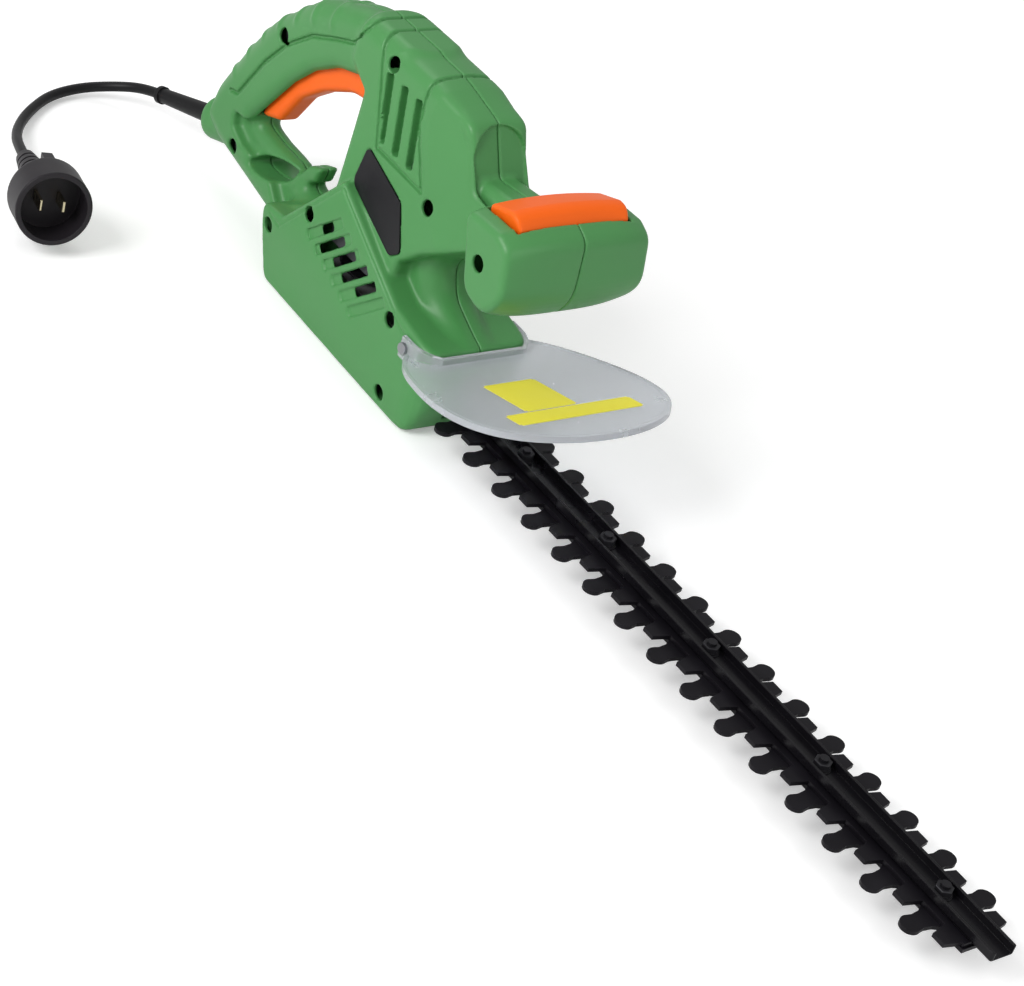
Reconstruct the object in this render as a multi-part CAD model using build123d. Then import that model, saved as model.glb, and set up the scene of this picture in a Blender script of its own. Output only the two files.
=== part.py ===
from build123d import *
import math
import os

# Corded hedge trimmer with a twin reciprocating blade. Millimetres.
# Frame: +X towards the blade tip, +Y to the user's left, +Z up, origin on the flat rest face.

# ---- Blades -------------------------------------------------------------------------------
tooth_pitch = 27.0
tooth_count = 15
first_tooth_x = 55.0
blade_thickness = 2.2
slide_gap = 0.1
blade_plane_z = 18.0
blade_stroke = 4.0
finger_reach = 29.2
finger_tip_radius = 5.2
finger_neck_half = 4.4
finger_root_half = 7.2
finger_root_length = 7.5
comb_spine_half = 11.3
cutter_reach = 20.2
cutter_tip_half = 3.7
cutter_root_half = 6.2
cutter_spine_half = 10.6
yoke_wall = 3.5

# ---- Guide bar and its bolts --------------------------------------------------------------
bar_half_width = 7.5
bar_base_thickness = 1.5
bar_wall_thickness = 1.5
bar_height = 5.6
bar_overhang = 34.0
bolt_count = 5
bolt_pitch_teeth = 3.2
last_bolt_tooth = 13.75
first_bolt_tooth = 1.44
bolt_radius = 2.5
bolt_head_radius = 4.6
bolt_head_height = 2.6
nut_flats = 8.0
nut_height = 3.0
bolt_stud_end = 1.6
mount_screw_radius = 2.0
mount_head_radius = 3.6
mount_screw_grip = 9.0
countersink = 1.4
spacer_radius = 4.0
washer_radius = 5.0
washer_thickness = 0.6
spring_washer_height = 1.0

# ---- Gear train ---------------------------------------------------------------------------
gear_x = -10.0
pinion_teeth = 14
idler_teeth = 44
idler_pinion_teeth = 14
drive_teeth = 32
first_module = 0.8
second_module = 1.0
gear_backlash = 0.16
eccentric_radius = 9.0
yoke_side_clearance = 0.95
yoke_end_clearance = 0.6
drive_shaft_radius = 4.0
idler_shaft_radius = 3.0
motor_shaft_radius = 4.0
shaft_clearance = 0.05
drive_gear_z = 21.5
drive_gear_width = 6.0
idler_gear_z = 28.5
idler_gear_width = 5.0
case_plate_z = 36.5
case_plate_thickness = 6.0
cover_plate_z = 8.0
cover_plate_thickness = 3.0
bearing_height = 5.0
bearing_wall = 4.0
drive_bearing_radius = 8.0
idler_bearing_radius = 6.5
motor_bearing_radius = 11.0
case_half = 26.5
case_post_y = 22.5
case_post_radius = 3.6
case_screw_radius = 1.75
case_screw_grip = 10.0
tongue_half = 5.4

# ---- Motor --------------------------------------------------------------------------------
stator_size = 50.0
stator_height = 20.0
stator_z = 53.0
stator_bore_radius = 14.0
armature_radius = 13.5
fan_radius = 23.5
fan_height = 5.5
fan_blades = 12
commutator_radius = 11.0
commutator_height = 12.0
brush_width = 6.0
brush_length = 9.0
coil_window = 10.0
bracket_half = 21.5
bracket_thickness = 6.0

# ---- Housing ------------------------------------------------------------------------------
wall = 2.5
seam_gap = 0.0
body_top_z = 175.5
body_half_top = 21.5
body_half_low = 30.5
body_taper_z = 40.0
shoulder_radius = 11.0
grip_half = 16.0
grip_round = 12.0
pod_half = 33.0
pod_floor_half = 27.5
nose_half = 34.0
nose_front_x = 39.0
nose_top_z = 53.0
nose_corner = 18.0
neck_half = 15.0
bar_handle_half = 46.0
bar_handle_x = 66.0
bar_handle_z = 129.0
screw_head_radius = 3.4
screw_head_height = 2.6
screw_radius = 1.9
screw_seat_y = 9.0
screw_reach = 12.0
screw_clearance = 0.1
boss_wall = 3.0
hook_half_length = 19.5
hook_half_width = 7.0
hook_tilt = 14.0
horn_half = 8.0

SCREW_POINTS = [(-171.0, 123.5, grip_half), (-66.0, 164.5, 22.0), (-193.0, 40.0, grip_half),
                (-122.0, 33.0, pod_half), (-88.0, 61.0, pod_half), (-6.0, 114.5, 28.0),
                (0.0, 50.5, pod_half), (7.0, 8.5, pod_half),
                (bar_handle_x, bar_handle_z, bar_handle_half)]

# ---- Controls -----------------------------------------------------------------------------
trigger_half = 9.5
trigger_travel_deg = 5.0
trigger_pin_x = -84.0
trigger_pin_z = 135.0
trigger_pin_radius = 2.5
trigger_clearance = 0.5
switch_bar_half = 36.0
switch_bar_travel = 4.0
switch_bar_bottom = 147.0
switch_bar_clearance = 0.4
bar_spring_y = 28.0
bar_spring_radius = 4.0
spring_wire = 0.6
spring_turns = 4

plunger_radius = 2.0
lead_radius = 0.9

# ---- Vents and badge ----------------------------------------------------------------------
vent_x = -71.4
vent_z = 63.8
vent_step_x = 9.66
vent_step_z = -2.58
vent_angle = 43.0
vent_length = 36.0
vent_width = 5.6
badge_depth = 1.0
badge_proud = 0.3

# ---- Guard --------------------------------------------------------------------------------
guard_tilt_deg = 14.5
guard_thickness = 2.6
guard_half_width = 65.0
guard_reach = 114.0
guard_rim = 3.4
collar_height = 12.0
collar_top = 52.5
guard_screw_x = 21.0
guard_screw_radius = 1.6
collar_thickness = 2.4
collar_gap = 0.3

# ---- Cord and plug ------------------------------------------------------------------------
cord_radius = 3.1
sleeve_length = 66.0
sleeve_shown = 51.0
cord_boss_radius = 13.0
sleeve_base_radius = 6.2
sleeve_tip_radius = 4.4
sleeve_flange_radius = 8.0
plug_radius = 21.2
plug_depth = 26.0
plug_wall = 3.0
plug_floor = 6.0
plug_boot_length = 50.0
plug_blade_spacing = 12.7
plug_blade_width = 6.3
plug_blade_thickness = 1.5
plug_blade_length = 17.5

LOWER_Z = blade_plane_z - slide_gap / 2 - blade_thickness
UPPER_Z = blade_plane_z + slide_gap / 2
BAR_Z = UPPER_Z + blade_thickness + slide_gap
SPACER_Z = LOWER_Z - slide_gap
LAST_TOOTH_X = first_tooth_x + (tooth_count - 1) * tooth_pitch
BLADE_END_X = LAST_TOOTH_X + 0.8 * tooth_pitch
BAR_END_X = LAST_TOOTH_X + bar_overhang
IDLER_X = gear_x - second_module * (drive_teeth + idler_pinion_teeth) / 2
MOTOR_X = IDLER_X - first_module * (idler_teeth + pinion_teeth) / 2
DRIVE_TIP = second_module * (drive_teeth / 2 + 0.8)
BAR_START_X = gear_x + DRIVE_TIP + 2.2

os.makedirs("parts", exist_ok=True)


# ---- Shared helpers -----------------------------------------------------------------------
def rounded_face(corners):
    """A closed outline from (across, up, corner radius) triples."""
    line = FilletPolyline(*[(a, b) for a, b, _ in corners],
                          radius=[r for _, _, r in corners], close=True)
    return make_face(line)


def side_slab(corners, half):
    """An outline in the XZ plane, extruded to both sides of the middle."""
    return extrude(Plane.XZ * rounded_face(corners), amount=half, both=True)


def block(x0, x1, y0, y1, z0, z1):
    return Pos((x0 + x1) / 2, (y0 + y1) / 2, (z0 + z1) / 2) * Box(abs(x1 - x0), abs(y1 - y0), abs(z1 - z0))


def post(x, y, z0, z1, radius):
    return Pos(x, y, (z0 + z1) / 2) * Cylinder(radius, z1 - z0)


def ring(x, y, z0, z1, outer, inner):
    return post(x, y, z0, z1, outer) - post(x, y, z0 - 1, z1 + 1, inner)


def cross_post(x, z, y0, y1, radius):
    """A cylinder along Y."""
    return Pos(x, (y0 + y1) / 2, z) * Rot(90, 0, 0) * Cylinder(radius, abs(y1 - y0))


def outer_edges(slab, radius):
    """Round the edges of both side faces of a slab that lies in the XZ plane."""
    sides = slab.faces().filter_by(Axis.Y).sort_by(Axis.Y)
    return fillet(list(sides[0].edges()) + list(sides[-1].edges()), radius)


def write(name, shape):
    export_step(shape, f"parts/{name}.step")


def group(solids):
    return Compound(children=[s for item in solids for s in item.solids()])


# ---- Blades -------------------------------------------------------------------------------
def mirrored_tooth(x, half_points):
    """Teeth on both sides of the spine from (offset, reach) points on one flank."""
    teeth = []
    for side in (1, -1):
        left = [(x - a, side * b) for a, b in half_points]
        right = [(x + a, side * b) for a, b in reversed(half_points)]
        teeth.append(make_face(Polyline(*left, *right, close=True)))
    return teeth


def blade_slots(height_z):
    """Slots that let the spacers through while the blade slides."""
    return [Pos(x, 0, height_z) * extrude(SlotOverall(2 * (spacer_radius + 0.2 + blade_stroke),
                                                      2 * (spacer_radius + 0.2)), amount=3 * blade_thickness,
                                          both=True) for x in BOLT_XS]


def yoke_plan(side):
    """Frame around an eccentric, open across the slide direction."""
    half_x = eccentric_radius + yoke_side_clearance
    half_y = eccentric_radius + blade_stroke + yoke_end_clearance
    outer = Pos(gear_x, 0) * RectangleRounded(2 * (half_x + yoke_wall), 2 * (half_y + yoke_wall), 5)
    neck = Pos((gear_x + first_tooth_x) / 2, 0) * Rectangle(first_tooth_x - gear_x, 2 * cutter_spine_half)
    hole = Pos(gear_x, 0) * RectangleRounded(2 * half_x, 2 * half_y, 3)
    return outer + neck - hole


def fingered_blade():
    spine = Pos((gear_x + BLADE_END_X) / 2, 0) * Rectangle(BLADE_END_X - gear_x, 2 * comb_spine_half)
    hole = Pos(gear_x, 0) * Rectangle(2 * (eccentric_radius + yoke_side_clearance),
                                      2 * (eccentric_radius + blade_stroke + yoke_end_clearance))
    plan = yoke_plan(-1) + (spine - hole)
    tip_y = finger_reach - finger_tip_radius
    flank = [(finger_root_half, cutter_spine_half), (finger_neck_half + 0.6, cutter_spine_half + 4.2),
             (finger_neck_half, tip_y - 4.5), (finger_tip_radius, tip_y)]
    for i in range(tooth_count):
        x = first_tooth_x + i * tooth_pitch
        plan += mirrored_tooth(x, flank)
        plan += [Pos(x, side * tip_y) * Circle(finger_tip_radius) for side in (1, -1)]
    body = Pos(0, 0, LOWER_Z) * extrude(plan, amount=blade_thickness)
    for slot in blade_slots(LOWER_Z):
        body -= slot
    return body


def cutter_blade():
    plan = yoke_plan(1)
    length = BLADE_END_X - first_tooth_x
    plan += Pos(first_tooth_x + length / 2 - 1, 0) * Rectangle(length, 2 * cutter_spine_half)
    flank = [(cutter_root_half, cutter_spine_half - 0.5), (cutter_root_half - 0.6, cutter_spine_half + 1.4),
             (cutter_tip_half, cutter_reach)]
    for i in range(tooth_count):
        plan += mirrored_tooth(first_tooth_x + (i + 0.5) * tooth_pitch, flank)
    body = Pos(0, 0, UPPER_Z) * extrude(plan, amount=blade_thickness)
    for slot in blade_slots(UPPER_Z):
        body -= slot
    return body


BOLT_XS = [first_tooth_x + first_bolt_tooth * tooth_pitch]
BOLT_XS += [first_tooth_x + (last_bolt_tooth - bolt_pitch_teeth * k) * tooth_pitch
            for k in range(bolt_count - 2, -1, -1)]
MOUNT_XS = [BAR_START_X + 6, BAR_START_X + 21]
BASE_TOP = BAR_Z + bar_base_thickness
STACK = [BASE_TOP, BASE_TOP + washer_thickness, BASE_TOP + washer_thickness + spring_washer_height]
HEAD_TOP = SPACER_Z - washer_thickness


def guide_bar():
    length = BAR_END_X - BAR_START_X
    middle = BAR_START_X + length / 2
    body = Pos(middle, 0, BAR_Z + bar_height / 2) * Box(length, 2 * bar_half_width, bar_height)
    body = fillet(body.edges().filter_by(Axis.X).group_by(Axis.Z)[0], 1.6)
    body = fillet(body.edges().filter_by(Axis.Z).group_by(Axis.X)[-1], 1.4)
    inner = bar_half_width - bar_wall_thickness
    body -= block(BAR_START_X - 1, BAR_END_X + 1, -inner, inner, BASE_TOP, BASE_TOP + bar_height)
    for x in BOLT_XS:
        body -= post(x, 0, BAR_Z - 1, BASE_TOP + 1, bolt_radius + 0.1)
    for x in MOUNT_XS:
        body -= post(x, 0, BAR_Z - 1, BASE_TOP + 1, mount_screw_radius + 0.1)
        body -= Pos(x, 0, BAR_Z + countersink / 2) * Cone(mount_head_radius + 0.1,
                                                          mount_screw_radius + 0.1, countersink)
    return body


def bar_bolts():
    solids = []
    for x in BOLT_XS:
        head = Pos(x, 0, HEAD_TOP - bolt_head_height) * extrude(
            RegularPolygon(bolt_head_radius, 6), amount=bolt_head_height)
        solids.append(head + post(x, 0, HEAD_TOP - 0.5, STACK[2] + nut_height + bolt_stud_end, bolt_radius))
    return group(solids)


def bar_nuts():
    solids = []
    for x in BOLT_XS:
        nut = Pos(x, 0, STACK[2]) * extrude(RegularPolygon(nut_flats / 2, 6, major_radius=False),
                                            amount=nut_height)
        solids.append(chamfer(nut.faces().sort_by(Axis.Z)[-1].edges(), 0.4)
                      - post(x, 0, 0, 2 * STACK[2], bolt_radius + 0.02))
    return group(solids)


def washers(z, height, radius, split=False):
    solids = []
    for x in BOLT_XS:
        washer = ring(x, 0, z, z + height, radius, bolt_radius + 0.05)
        if split:
            washer -= block(x - 0.5, x + 0.5, 1, radius + 1, z - 1, z + height + 1)
        solids.append(washer)
    return group(solids)


def blade_spacers():
    return group([ring(x, 0, SPACER_Z, BAR_Z, spacer_radius, bolt_radius + 0.05) for x in BOLT_XS])


def bar_mount_screws():
    solids = []
    for x in MOUNT_XS:
        head = Pos(x, 0, BAR_Z + countersink / 2) * Cone(mount_head_radius, mount_screw_radius, countersink)
        solids.append(head + post(x, 0, BAR_Z + countersink - 0.2, BASE_TOP + mount_screw_grip,
                                  mount_screw_radius))
    return group(solids)


write("blade_lower", fingered_blade())
write("blade_upper", cutter_blade())
write("guide_bar", guide_bar())
write("bar_bolts", bar_bolts())
write("bar_nuts", bar_nuts())
write("spring_washers", washers(STACK[1], spring_washer_height, washer_radius - 0.6, split=True))
write("flat_washers", group([washers(STACK[0], washer_thickness, washer_radius),
                             washers(HEAD_TOP, washer_thickness, spacer_radius + 2)]))
write("blade_spacers", blade_spacers())
write("bar_mount_screws", bar_mount_screws())


# ---- Gear train ---------------------------------------------------------------------------
def spur_gear(x, z0, z1, module, teeth, phase_deg, bore):
    """Involute spur gear, 20 degree pressure angle, stub teeth."""
    pitch = module * teeth / 2
    base = pitch * math.cos(math.radians(20))
    tip = pitch + 0.8 * module
    root = pitch - 1.05 * module
    involute = math.tan(math.radians(20)) - math.radians(20)
    half_pitch_angle = (math.pi * module / 2 - gear_backlash / 2) / (2 * pitch)

    def half_angle(radius):
        pressure = math.acos(min(1.0, base / radius))
        return half_pitch_angle + involute - (math.tan(pressure) - pressure)

    start = max(base, root)
    radii = [start + (tip - start) * k / 4 for k in range(5)]
    flank = ([(root, half_angle(start))] if root < base else []) + [(r, half_angle(r)) for r in radii]
    points = []
    for k in range(teeth):
        middle = math.radians(phase_deg) + 2 * math.pi * k / teeth
        points += [(r * math.cos(middle - a), r * math.sin(middle - a)) for r, a in flank]
        points += [(r * math.cos(middle + a), r * math.sin(middle + a)) for r, a in reversed(flank)]
    wheel = extrude(make_face(Polyline(*points, close=True)), amount=z1 - z0)
    return Pos(x, 0, z0) * wheel - post(x, 0, z0 - 1, z1 + 1, bore)


def hub(gear, x, z0, z1, radius, bore):
    return gear + ring(x, 0, z0, z1, radius, bore)


CASE_TOP = case_plate_z + case_plate_thickness
COVER_TOP = cover_plate_z + cover_plate_thickness
PINION_Z = idler_gear_z - 1.0
drive_bore = drive_shaft_radius + shaft_clearance
idler_bore = idler_shaft_radius + shaft_clearance
motor_bore = motor_shaft_radius + shaft_clearance

drive_gear = spur_gear(gear_x, drive_gear_z, drive_gear_z + drive_gear_width, second_module, drive_teeth,
                       180 / drive_teeth, drive_bore)
for hole in PolarLocations(0.62 * DRIVE_TIP, 6):
    drive_gear -= Pos(gear_x, 0, drive_gear_z + 3) * hole * Cylinder(2.4, 3 * drive_gear_width)
write("drive_gear", hub(drive_gear, gear_x, drive_gear_z, idler_gear_z - 0.5, drive_shaft_radius + 3, drive_bore))

idler = spur_gear(IDLER_X, idler_gear_z, idler_gear_z + idler_gear_width, first_module, idler_teeth,
                  180 / idler_teeth, idler_bore)
for hole in PolarLocations(0.6 * first_module * idler_teeth / 2, 5):
    idler -= Pos(IDLER_X, 0, idler_gear_z + 3) * hole * Cylinder(2.6, 3 * idler_gear_width)
idler += spur_gear(IDLER_X, drive_gear_z - 0.3, idler_gear_z, second_module, idler_pinion_teeth, 0, idler_bore)
write("idler_gear", idler)


def eccentric(side, z, height):
    disc = post(gear_x, side * blade_stroke, z, z + height, eccentric_radius)
    return disc - post(gear_x, 0, z - 1, z + height + 1, drive_bore)


SPACE = 0.05
write("eccentric_lower", eccentric(-1, LOWER_Z + SPACE, blade_thickness - SPACE))
write("eccentric_upper", eccentric(1, UPPER_Z, drive_gear_z - UPPER_Z))
write("gear_shaft", post(gear_x, 0, cover_plate_z, CASE_TOP, drive_shaft_radius))
write("idler_shaft", post(IDLER_X, 0, cover_plate_z, CASE_TOP, idler_shaft_radius))


# ---- Gear case ----------------------------------------------------------------------------
def bearing(x, z0, z1, outer, inner):
    """A plain ball race: two rings and the band of balls between them, as one unit."""
    shape = ring(x, 0, z0, z1, outer, inner + shaft_clearance)
    middle = (outer + inner) / 2
    width = (outer - inner) / 5
    for z in (z0, z1):
        shape -= ring(x, 0, z - 0.5, z + 0.5, middle + width, middle - width)
    return shape


FIT = 0.05
SHAFTS = [(gear_x, drive_shaft_radius, drive_bearing_radius),
          (IDLER_X, idler_shaft_radius, idler_bearing_radius)]
POSTS = [(x, side * case_post_y) for x in (gear_x + 5.5, IDLER_X - 5.0) for side in (1, -1)]
BEARING_Z = CASE_TOP - bearing_height


def gearbox_case():
    rear = MOTOR_X - motor_bearing_radius - bearing_wall
    front = BAR_START_X + 26
    plate = block(rear, POSTS[0][0] + 5, -case_half, case_half, case_plate_z, CASE_TOP)
    plate = fillet(plate.edges().filter_by(Axis.Z), 8)
    plate += block(POSTS[0][0], front, -tongue_half, tongue_half, case_plate_z, CASE_TOP)
    plate += block(BAR_START_X + 1.5, front, -tongue_half, tongue_half, BASE_TOP, case_plate_z + 1)
    for x, y in POSTS:
        plate += post(x, y, COVER_TOP, case_plate_z + 1, case_post_radius)
        plate -= post(x, y, COVER_TOP - 1, COVER_TOP + case_screw_grip + 0.5, case_screw_radius + 0.05)
    for x, shaft, race in SHAFTS:
        plate -= post(x, 0, case_plate_z - 1, CASE_TOP + 1, shaft + 1.5)
        plate -= post(x, 0, BEARING_Z, CASE_TOP + 1, race + FIT)
    plate -= post(MOTOR_X, 0, case_plate_z - 1, CASE_TOP + 1, motor_bearing_radius + FIT)
    for x in MOUNT_XS:
        plate -= post(x, 0, BASE_TOP - 1, BASE_TOP + mount_screw_grip + 0.5, mount_screw_radius + 0.05)
    return plate


def gearbox_cover():
    plate = block(POSTS[-1][0] - 4.5, POSTS[0][0] + 4.5, -case_half, case_half, cover_plate_z, COVER_TOP)
    plate = fillet(plate.edges().filter_by(Axis.Z), 4)
    for x, shaft, race in SHAFTS:
        plate += post(x, 0, cover_plate_z, cover_plate_z + bearing_height, race + 2.5)
        plate -= post(x, 0, cover_plate_z - 1, cover_plate_z + bearing_height + 1, race + FIT)
    for x, y in POSTS:
        plate -= post(x, y, cover_plate_z - 1, COVER_TOP + 1, case_screw_radius + 0.15)
    return plate


def gearbox_screws():
    solids = []
    for x, y in POSTS:
        head = post(x, y, cover_plate_z - 2.2, cover_plate_z, case_screw_radius + 1.7)
        solids.append(head + post(x, y, cover_plate_z - 0.5, COVER_TOP + case_screw_grip, case_screw_radius))
    return group(solids)


write("gearbox_case", gearbox_case())
write("gearbox_cover", gearbox_cover())
write("gearbox_screws", gearbox_screws())
write("gear_bearings", group([bearing(x, z, z + bearing_height, race, shaft)
                              for x, shaft, race in SHAFTS for z in (cover_plate_z, BEARING_Z)]))


# ---- Motor --------------------------------------------------------------------------------
FAN_Z = CASE_TOP + 1.0
BRACKET_Z = stator_z + stator_height + 25.0
COMMUTATOR_Z = stator_z + stator_height + 7.5
SHAFT_TOP = BRACKET_Z + bracket_thickness + 1.5


def at_motor(shape):
    return Pos(MOTOR_X, 0, 0) * shape


def fan():
    shape = ring(MOTOR_X, 0, FAN_Z, FAN_Z + 1.4, fan_radius, motor_bore)
    shape += ring(MOTOR_X, 0, FAN_Z, FAN_Z + fan_height, motor_shaft_radius + 2.5, motor_bore)
    for k in range(fan_blades):
        vane = Pos((fan_radius + 9) / 2, 0, FAN_Z + fan_height / 2) * Rot(0, 0, 20) * Box(fan_radius - 9, 1.2,
                                                                                       fan_height)
        shape += at_motor(Rot(0, 0, 360 * k / fan_blades) * vane)
    return shape & post(MOTOR_X, 0, FAN_Z, FAN_Z + fan_height, fan_radius)


def armature_core():
    core = ring(0, 0, stator_z, stator_z + stator_height, armature_radius, motor_bore)
    for k in range(12):
        slot = Pos(armature_radius - 2.2, 0, stator_z + stator_height / 2) * Box(5.2, 1.6, stator_height + 2)
        core -= Rot(0, 0, 30 * k) * slot
    return at_motor(core)


def armature_winding():
    top = stator_z + stator_height
    shape = ring(MOTOR_X, 0, top, top + 5.0, armature_radius - 1.0, motor_bore)
    shape = fillet(shape.faces().sort_by(Axis.Z)[-1].edges().sort_by(SortBy.LENGTH)[-1], 2.0)
    low = ring(MOTOR_X, 0, stator_z - 2.6, stator_z, armature_radius - 1.0, motor_bore)
    return group([shape, low])


def commutator():
    shape = ring(0, 0, COMMUTATOR_Z, COMMUTATOR_Z + commutator_height, commutator_radius, motor_bore)
    for k in range(24):
        shape -= Rot(0, 0, 15 * k) * Pos(commutator_radius, 0, COMMUTATOR_Z + commutator_height / 2) * Box(
            1.2, 0.5, commutator_height + 2)
    return at_motor(shape)


def motor_stator():
    core = Pos(0, 0, stator_z + stator_height / 2) * Box(stator_size, stator_size, stator_height)
    core = fillet(core.edges().filter_by(Axis.Z), 9)
    core -= post(0, 0, stator_z - 1, stator_z + stator_height + 1, stator_bore_radius)
    for side in (1, -1):
        core -= block(side * 10, side * (stator_bore_radius + 6), -coil_window, coil_window, stator_z - 1,
                      stator_z + stator_height + 1)
    return at_motor(core)


def field_coils():
    solids = []
    low = stator_z - 2.7
    high = stator_z + stator_height + 4.0
    inner = stator_bore_radius + 0.6
    outer = stator_bore_radius + 5.6
    for side in (1, -1):
        half = block(-outer - 1, outer + 1, side * 1.0, side * (outer + 1), low - 1, high + 1)
        coil = (ring(0, 0, low, stator_z - 0.2, outer, inner)
                + ring(0, 0, stator_z + stator_height + 0.2, high, outer, inner)) & half
        for end in (1, -1):
            coil += block(end * inner, end * (inner + 4.6), side * 1.0, side * (coil_window - 0.4), low, high)
        solids.append(at_motor(coil))
    return group(solids)


def motor_bracket():
    half = bracket_half
    plate = Pos(0, 0, BRACKET_Z + bracket_thickness / 2) * Box(2 * half, 2 * half, bracket_thickness)
    plate = fillet(plate.edges().filter_by(Axis.Z), 5)
    plate -= post(0, 0, BRACKET_Z - 1, BRACKET_Z + bracket_thickness + 1, motor_bearing_radius + FIT)
    for sx in (1, -1):
        for sy in (1, -1):
            x = sx * (half - 2.6)
            y = sy * (half - 2.6)
            plate += post(x, y, stator_z + stator_height, BRACKET_Z + 1, 2.5)
    return at_motor(plate)


def brush_parts():
    holders = []
    brushes = []
    z0 = COMMUTATOR_Z + 2.5
    for side in (1, -1):
        inner = commutator_radius + 1.2
        tip = commutator_radius + 0.05
        end = tip + brush_length
        half = brush_width / 2
        brush = block(side * tip, side * end, -half, half, z0 + 0.0, z0 + brush_width)
        brushes.append(at_motor(brush & ring(0, 0, z0 - 1, z0 + 9, 2 * end, commutator_radius + 0.05)))
        shell = block(side * inner, side * (end + 3), -half - 1.5, half + 1.5, z0 - 1.5, z0 + brush_width + 1.5)
        shell += block(side * (end - 4), side * (end + 3), -half - 1.5, half + 1.5, z0 + brush_width,
                       BRACKET_Z)
        shell -= block(side * (inner - 1), side * (end + 1.5), -half - 0.05, half + 0.05, z0 - 0.05,
                       z0 + brush_width + 0.05)
        holders.append(at_motor(shell))
    turn = Pos(MOTOR_X, 0, 0) * Rot(0, 0, 90) * Pos(-MOTOR_X, 0, 0)
    return group([turn * h for h in holders]), group([turn * b for b in brushes])


holders, brushes = brush_parts()
write("brush_holders", holders)
write("carbon_brushes", brushes)
write("fan", fan())
write("armature_core", armature_core())
write("armature_winding", armature_winding())
write("commutator", commutator())
write("motor_stator", motor_stator())
write("field_coils", field_coils())
write("motor_bracket", motor_bracket())
write("motor_shaft", post(MOTOR_X, 0, PINION_Z - 2, SHAFT_TOP, motor_shaft_radius))
write("motor_pinion", spur_gear(MOTOR_X, PINION_Z, idler_gear_z + idler_gear_width + 0.5, first_module,
                                pinion_teeth, 0, motor_bore))
write("motor_bearings", group([bearing(MOTOR_X, z, z + bracket_thickness, motor_bearing_radius,
                                       motor_shaft_radius) for z in (case_plate_z, BRACKET_Z)]))


# ---- Housing outlines, as (x, z, corner radius) -------------------------------------------
def gap_line(z):
    """Half width of the tapering body side at a height."""
    share = (z - body_taper_z) / (body_top_z - body_taper_z)
    return body_half_low + (body_half_top - body_half_low) * share


HOOK_CENTRE = (-155.0, 46.5)
GRIP = [(-231, 41, 10), (-212, 32, 12), (-178, 26, 30), (-150, 21, 30), (-100, 21, 5), (-62, 60, 5),
        (-62, body_top_z + 0.4, 3), (-92, body_top_z - 0.3, 30), (-120, 168.5, 60), (-153, 156, 50),
        (-189, 124, 60), (-207, 97, 50), (-225, 64, 40)]
HAND_HOLE = [(-187, 58, 6), (-168, 54.5, 14), (-144, 53, 8), (-124, 49, 6), (-108, 48, 5), (-80, 80, 3),
             (-82, 134, 4), (-100, 137, 10), (-121, 130.5, 25), (-141, 117.5, 25), (-157, 101, 25),
             (-173, 79, 25)]
BODY = [(-80, 60, 2), (-82, 140, 3), (-100, 150, 3), (-100, body_top_z + 0.9, 3), (-34, body_top_z, 30),
        (3, 164, 18), (16, 138, 5), (40, 137, 4), (40, 114, 4), (29, 109, 6), (0, 89, 12), (-14, 76, 6),
        (-14, 40, 3), (-60, 40, 3)]
POD = [(-133, 43, 6), (-111, 45.5, 4), (-67.5, 94.5, 3), (2, 59, 14), (38, nose_top_z, 3),
       (nose_front_x + 3.5, 22, 9), (35, 1, 14), (22, 0, 12), (-113, 0, 6)]
POD_PLAN = [(-136, -pod_half, 12), (43, -nose_half, nose_corner), (43, nose_half, nose_corner),
            (-136, pod_half, 12)]
NECK = [(-30, 112, 3), (34, 112, 5), (0, 84, 17), (9, 66, 18), (38, nose_top_z - 0.5, 3), (38, 42, 2),
        (-30, 42, 2)]
WEB = [(-10, 141, 3), (47, 148, 3), (58, 122, 3), (54, 108, 4), (26, 102, 10), (-10, 96, 3)]
HORN = [(-148, 44, 2), (-139.5, 53, 8), (-132, 64.5, 9), (-119.5, 68.5, 2.2), (-122, 56.5, 4),
        (-128, 52.5, 5), (-126, 42, 2)]
HANDLE_MIDDLE = [(44, 152, 5), (62, 104.5, 8), (78, 102, 8), (90, 116, 12), (87.5, 150, 8), (78, 155, 4)]
HANDLE_CAP = [(46, 149.5, 5), (62, 109.5, 7), (76, 108.5, 6), (85, 119, 8), (80.5, 144, 8), (72, 149, 4)]
BADGE = [(-64, 117, 3), (-67, 94, 6), (-21, 76.5, 4), (-13.5, 82, 3), (-26, 105.5, 3)]


def grown(corners, inset):
    face = rounded_face(corners)
    return offset(face, -inset) if inset else face


def soft_slab(corners, half, radius, inset):
    slab = extrude(Plane.XZ * grown(corners, inset), amount=half - inset, both=True)
    return outer_edges(slab, radius - inset) if radius > inset else slab


def body_section(inset, x0=-150.0, x1=60.0):
    """Taper of the upper body, seen along X, as a prism."""
    low = body_taper_z
    corners = [(-body_half_low, low, 0.5), (body_half_low, low, 0.5),
               (body_half_top - 0.6, body_top_z - 3.5, shoulder_radius), (0, body_top_z + 1.2, 50),
               (-body_half_top + 0.6, body_top_z - 3.5, shoulder_radius)]
    face = offset(rounded_face(corners), -inset) if inset else rounded_face(corners)
    return extrude(Plane.YZ.offset(x0) * face, amount=x1 - x0)


def pod_block(inset):
    slab = extrude(Plane.XZ * grown(POD, inset), amount=nose_half + 2, both=True)
    slab &= extrude(grown(POD_PLAN, inset), amount=120)
    for side in (-1, 1):
        high = Vector(-121, side * pod_half, 40.5)
        front = Vector(5, side * pod_half, 10)
        low = Vector(-60, side * pod_floor_half, 0)
        normal = (front - high).cross(low - high) * side
        slant = Plane(origin=high, z_dir=normal)
        slab -= slant * Pos(0, 0, 50 - inset) * Box(600, 600, 100)
    return slab


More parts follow.
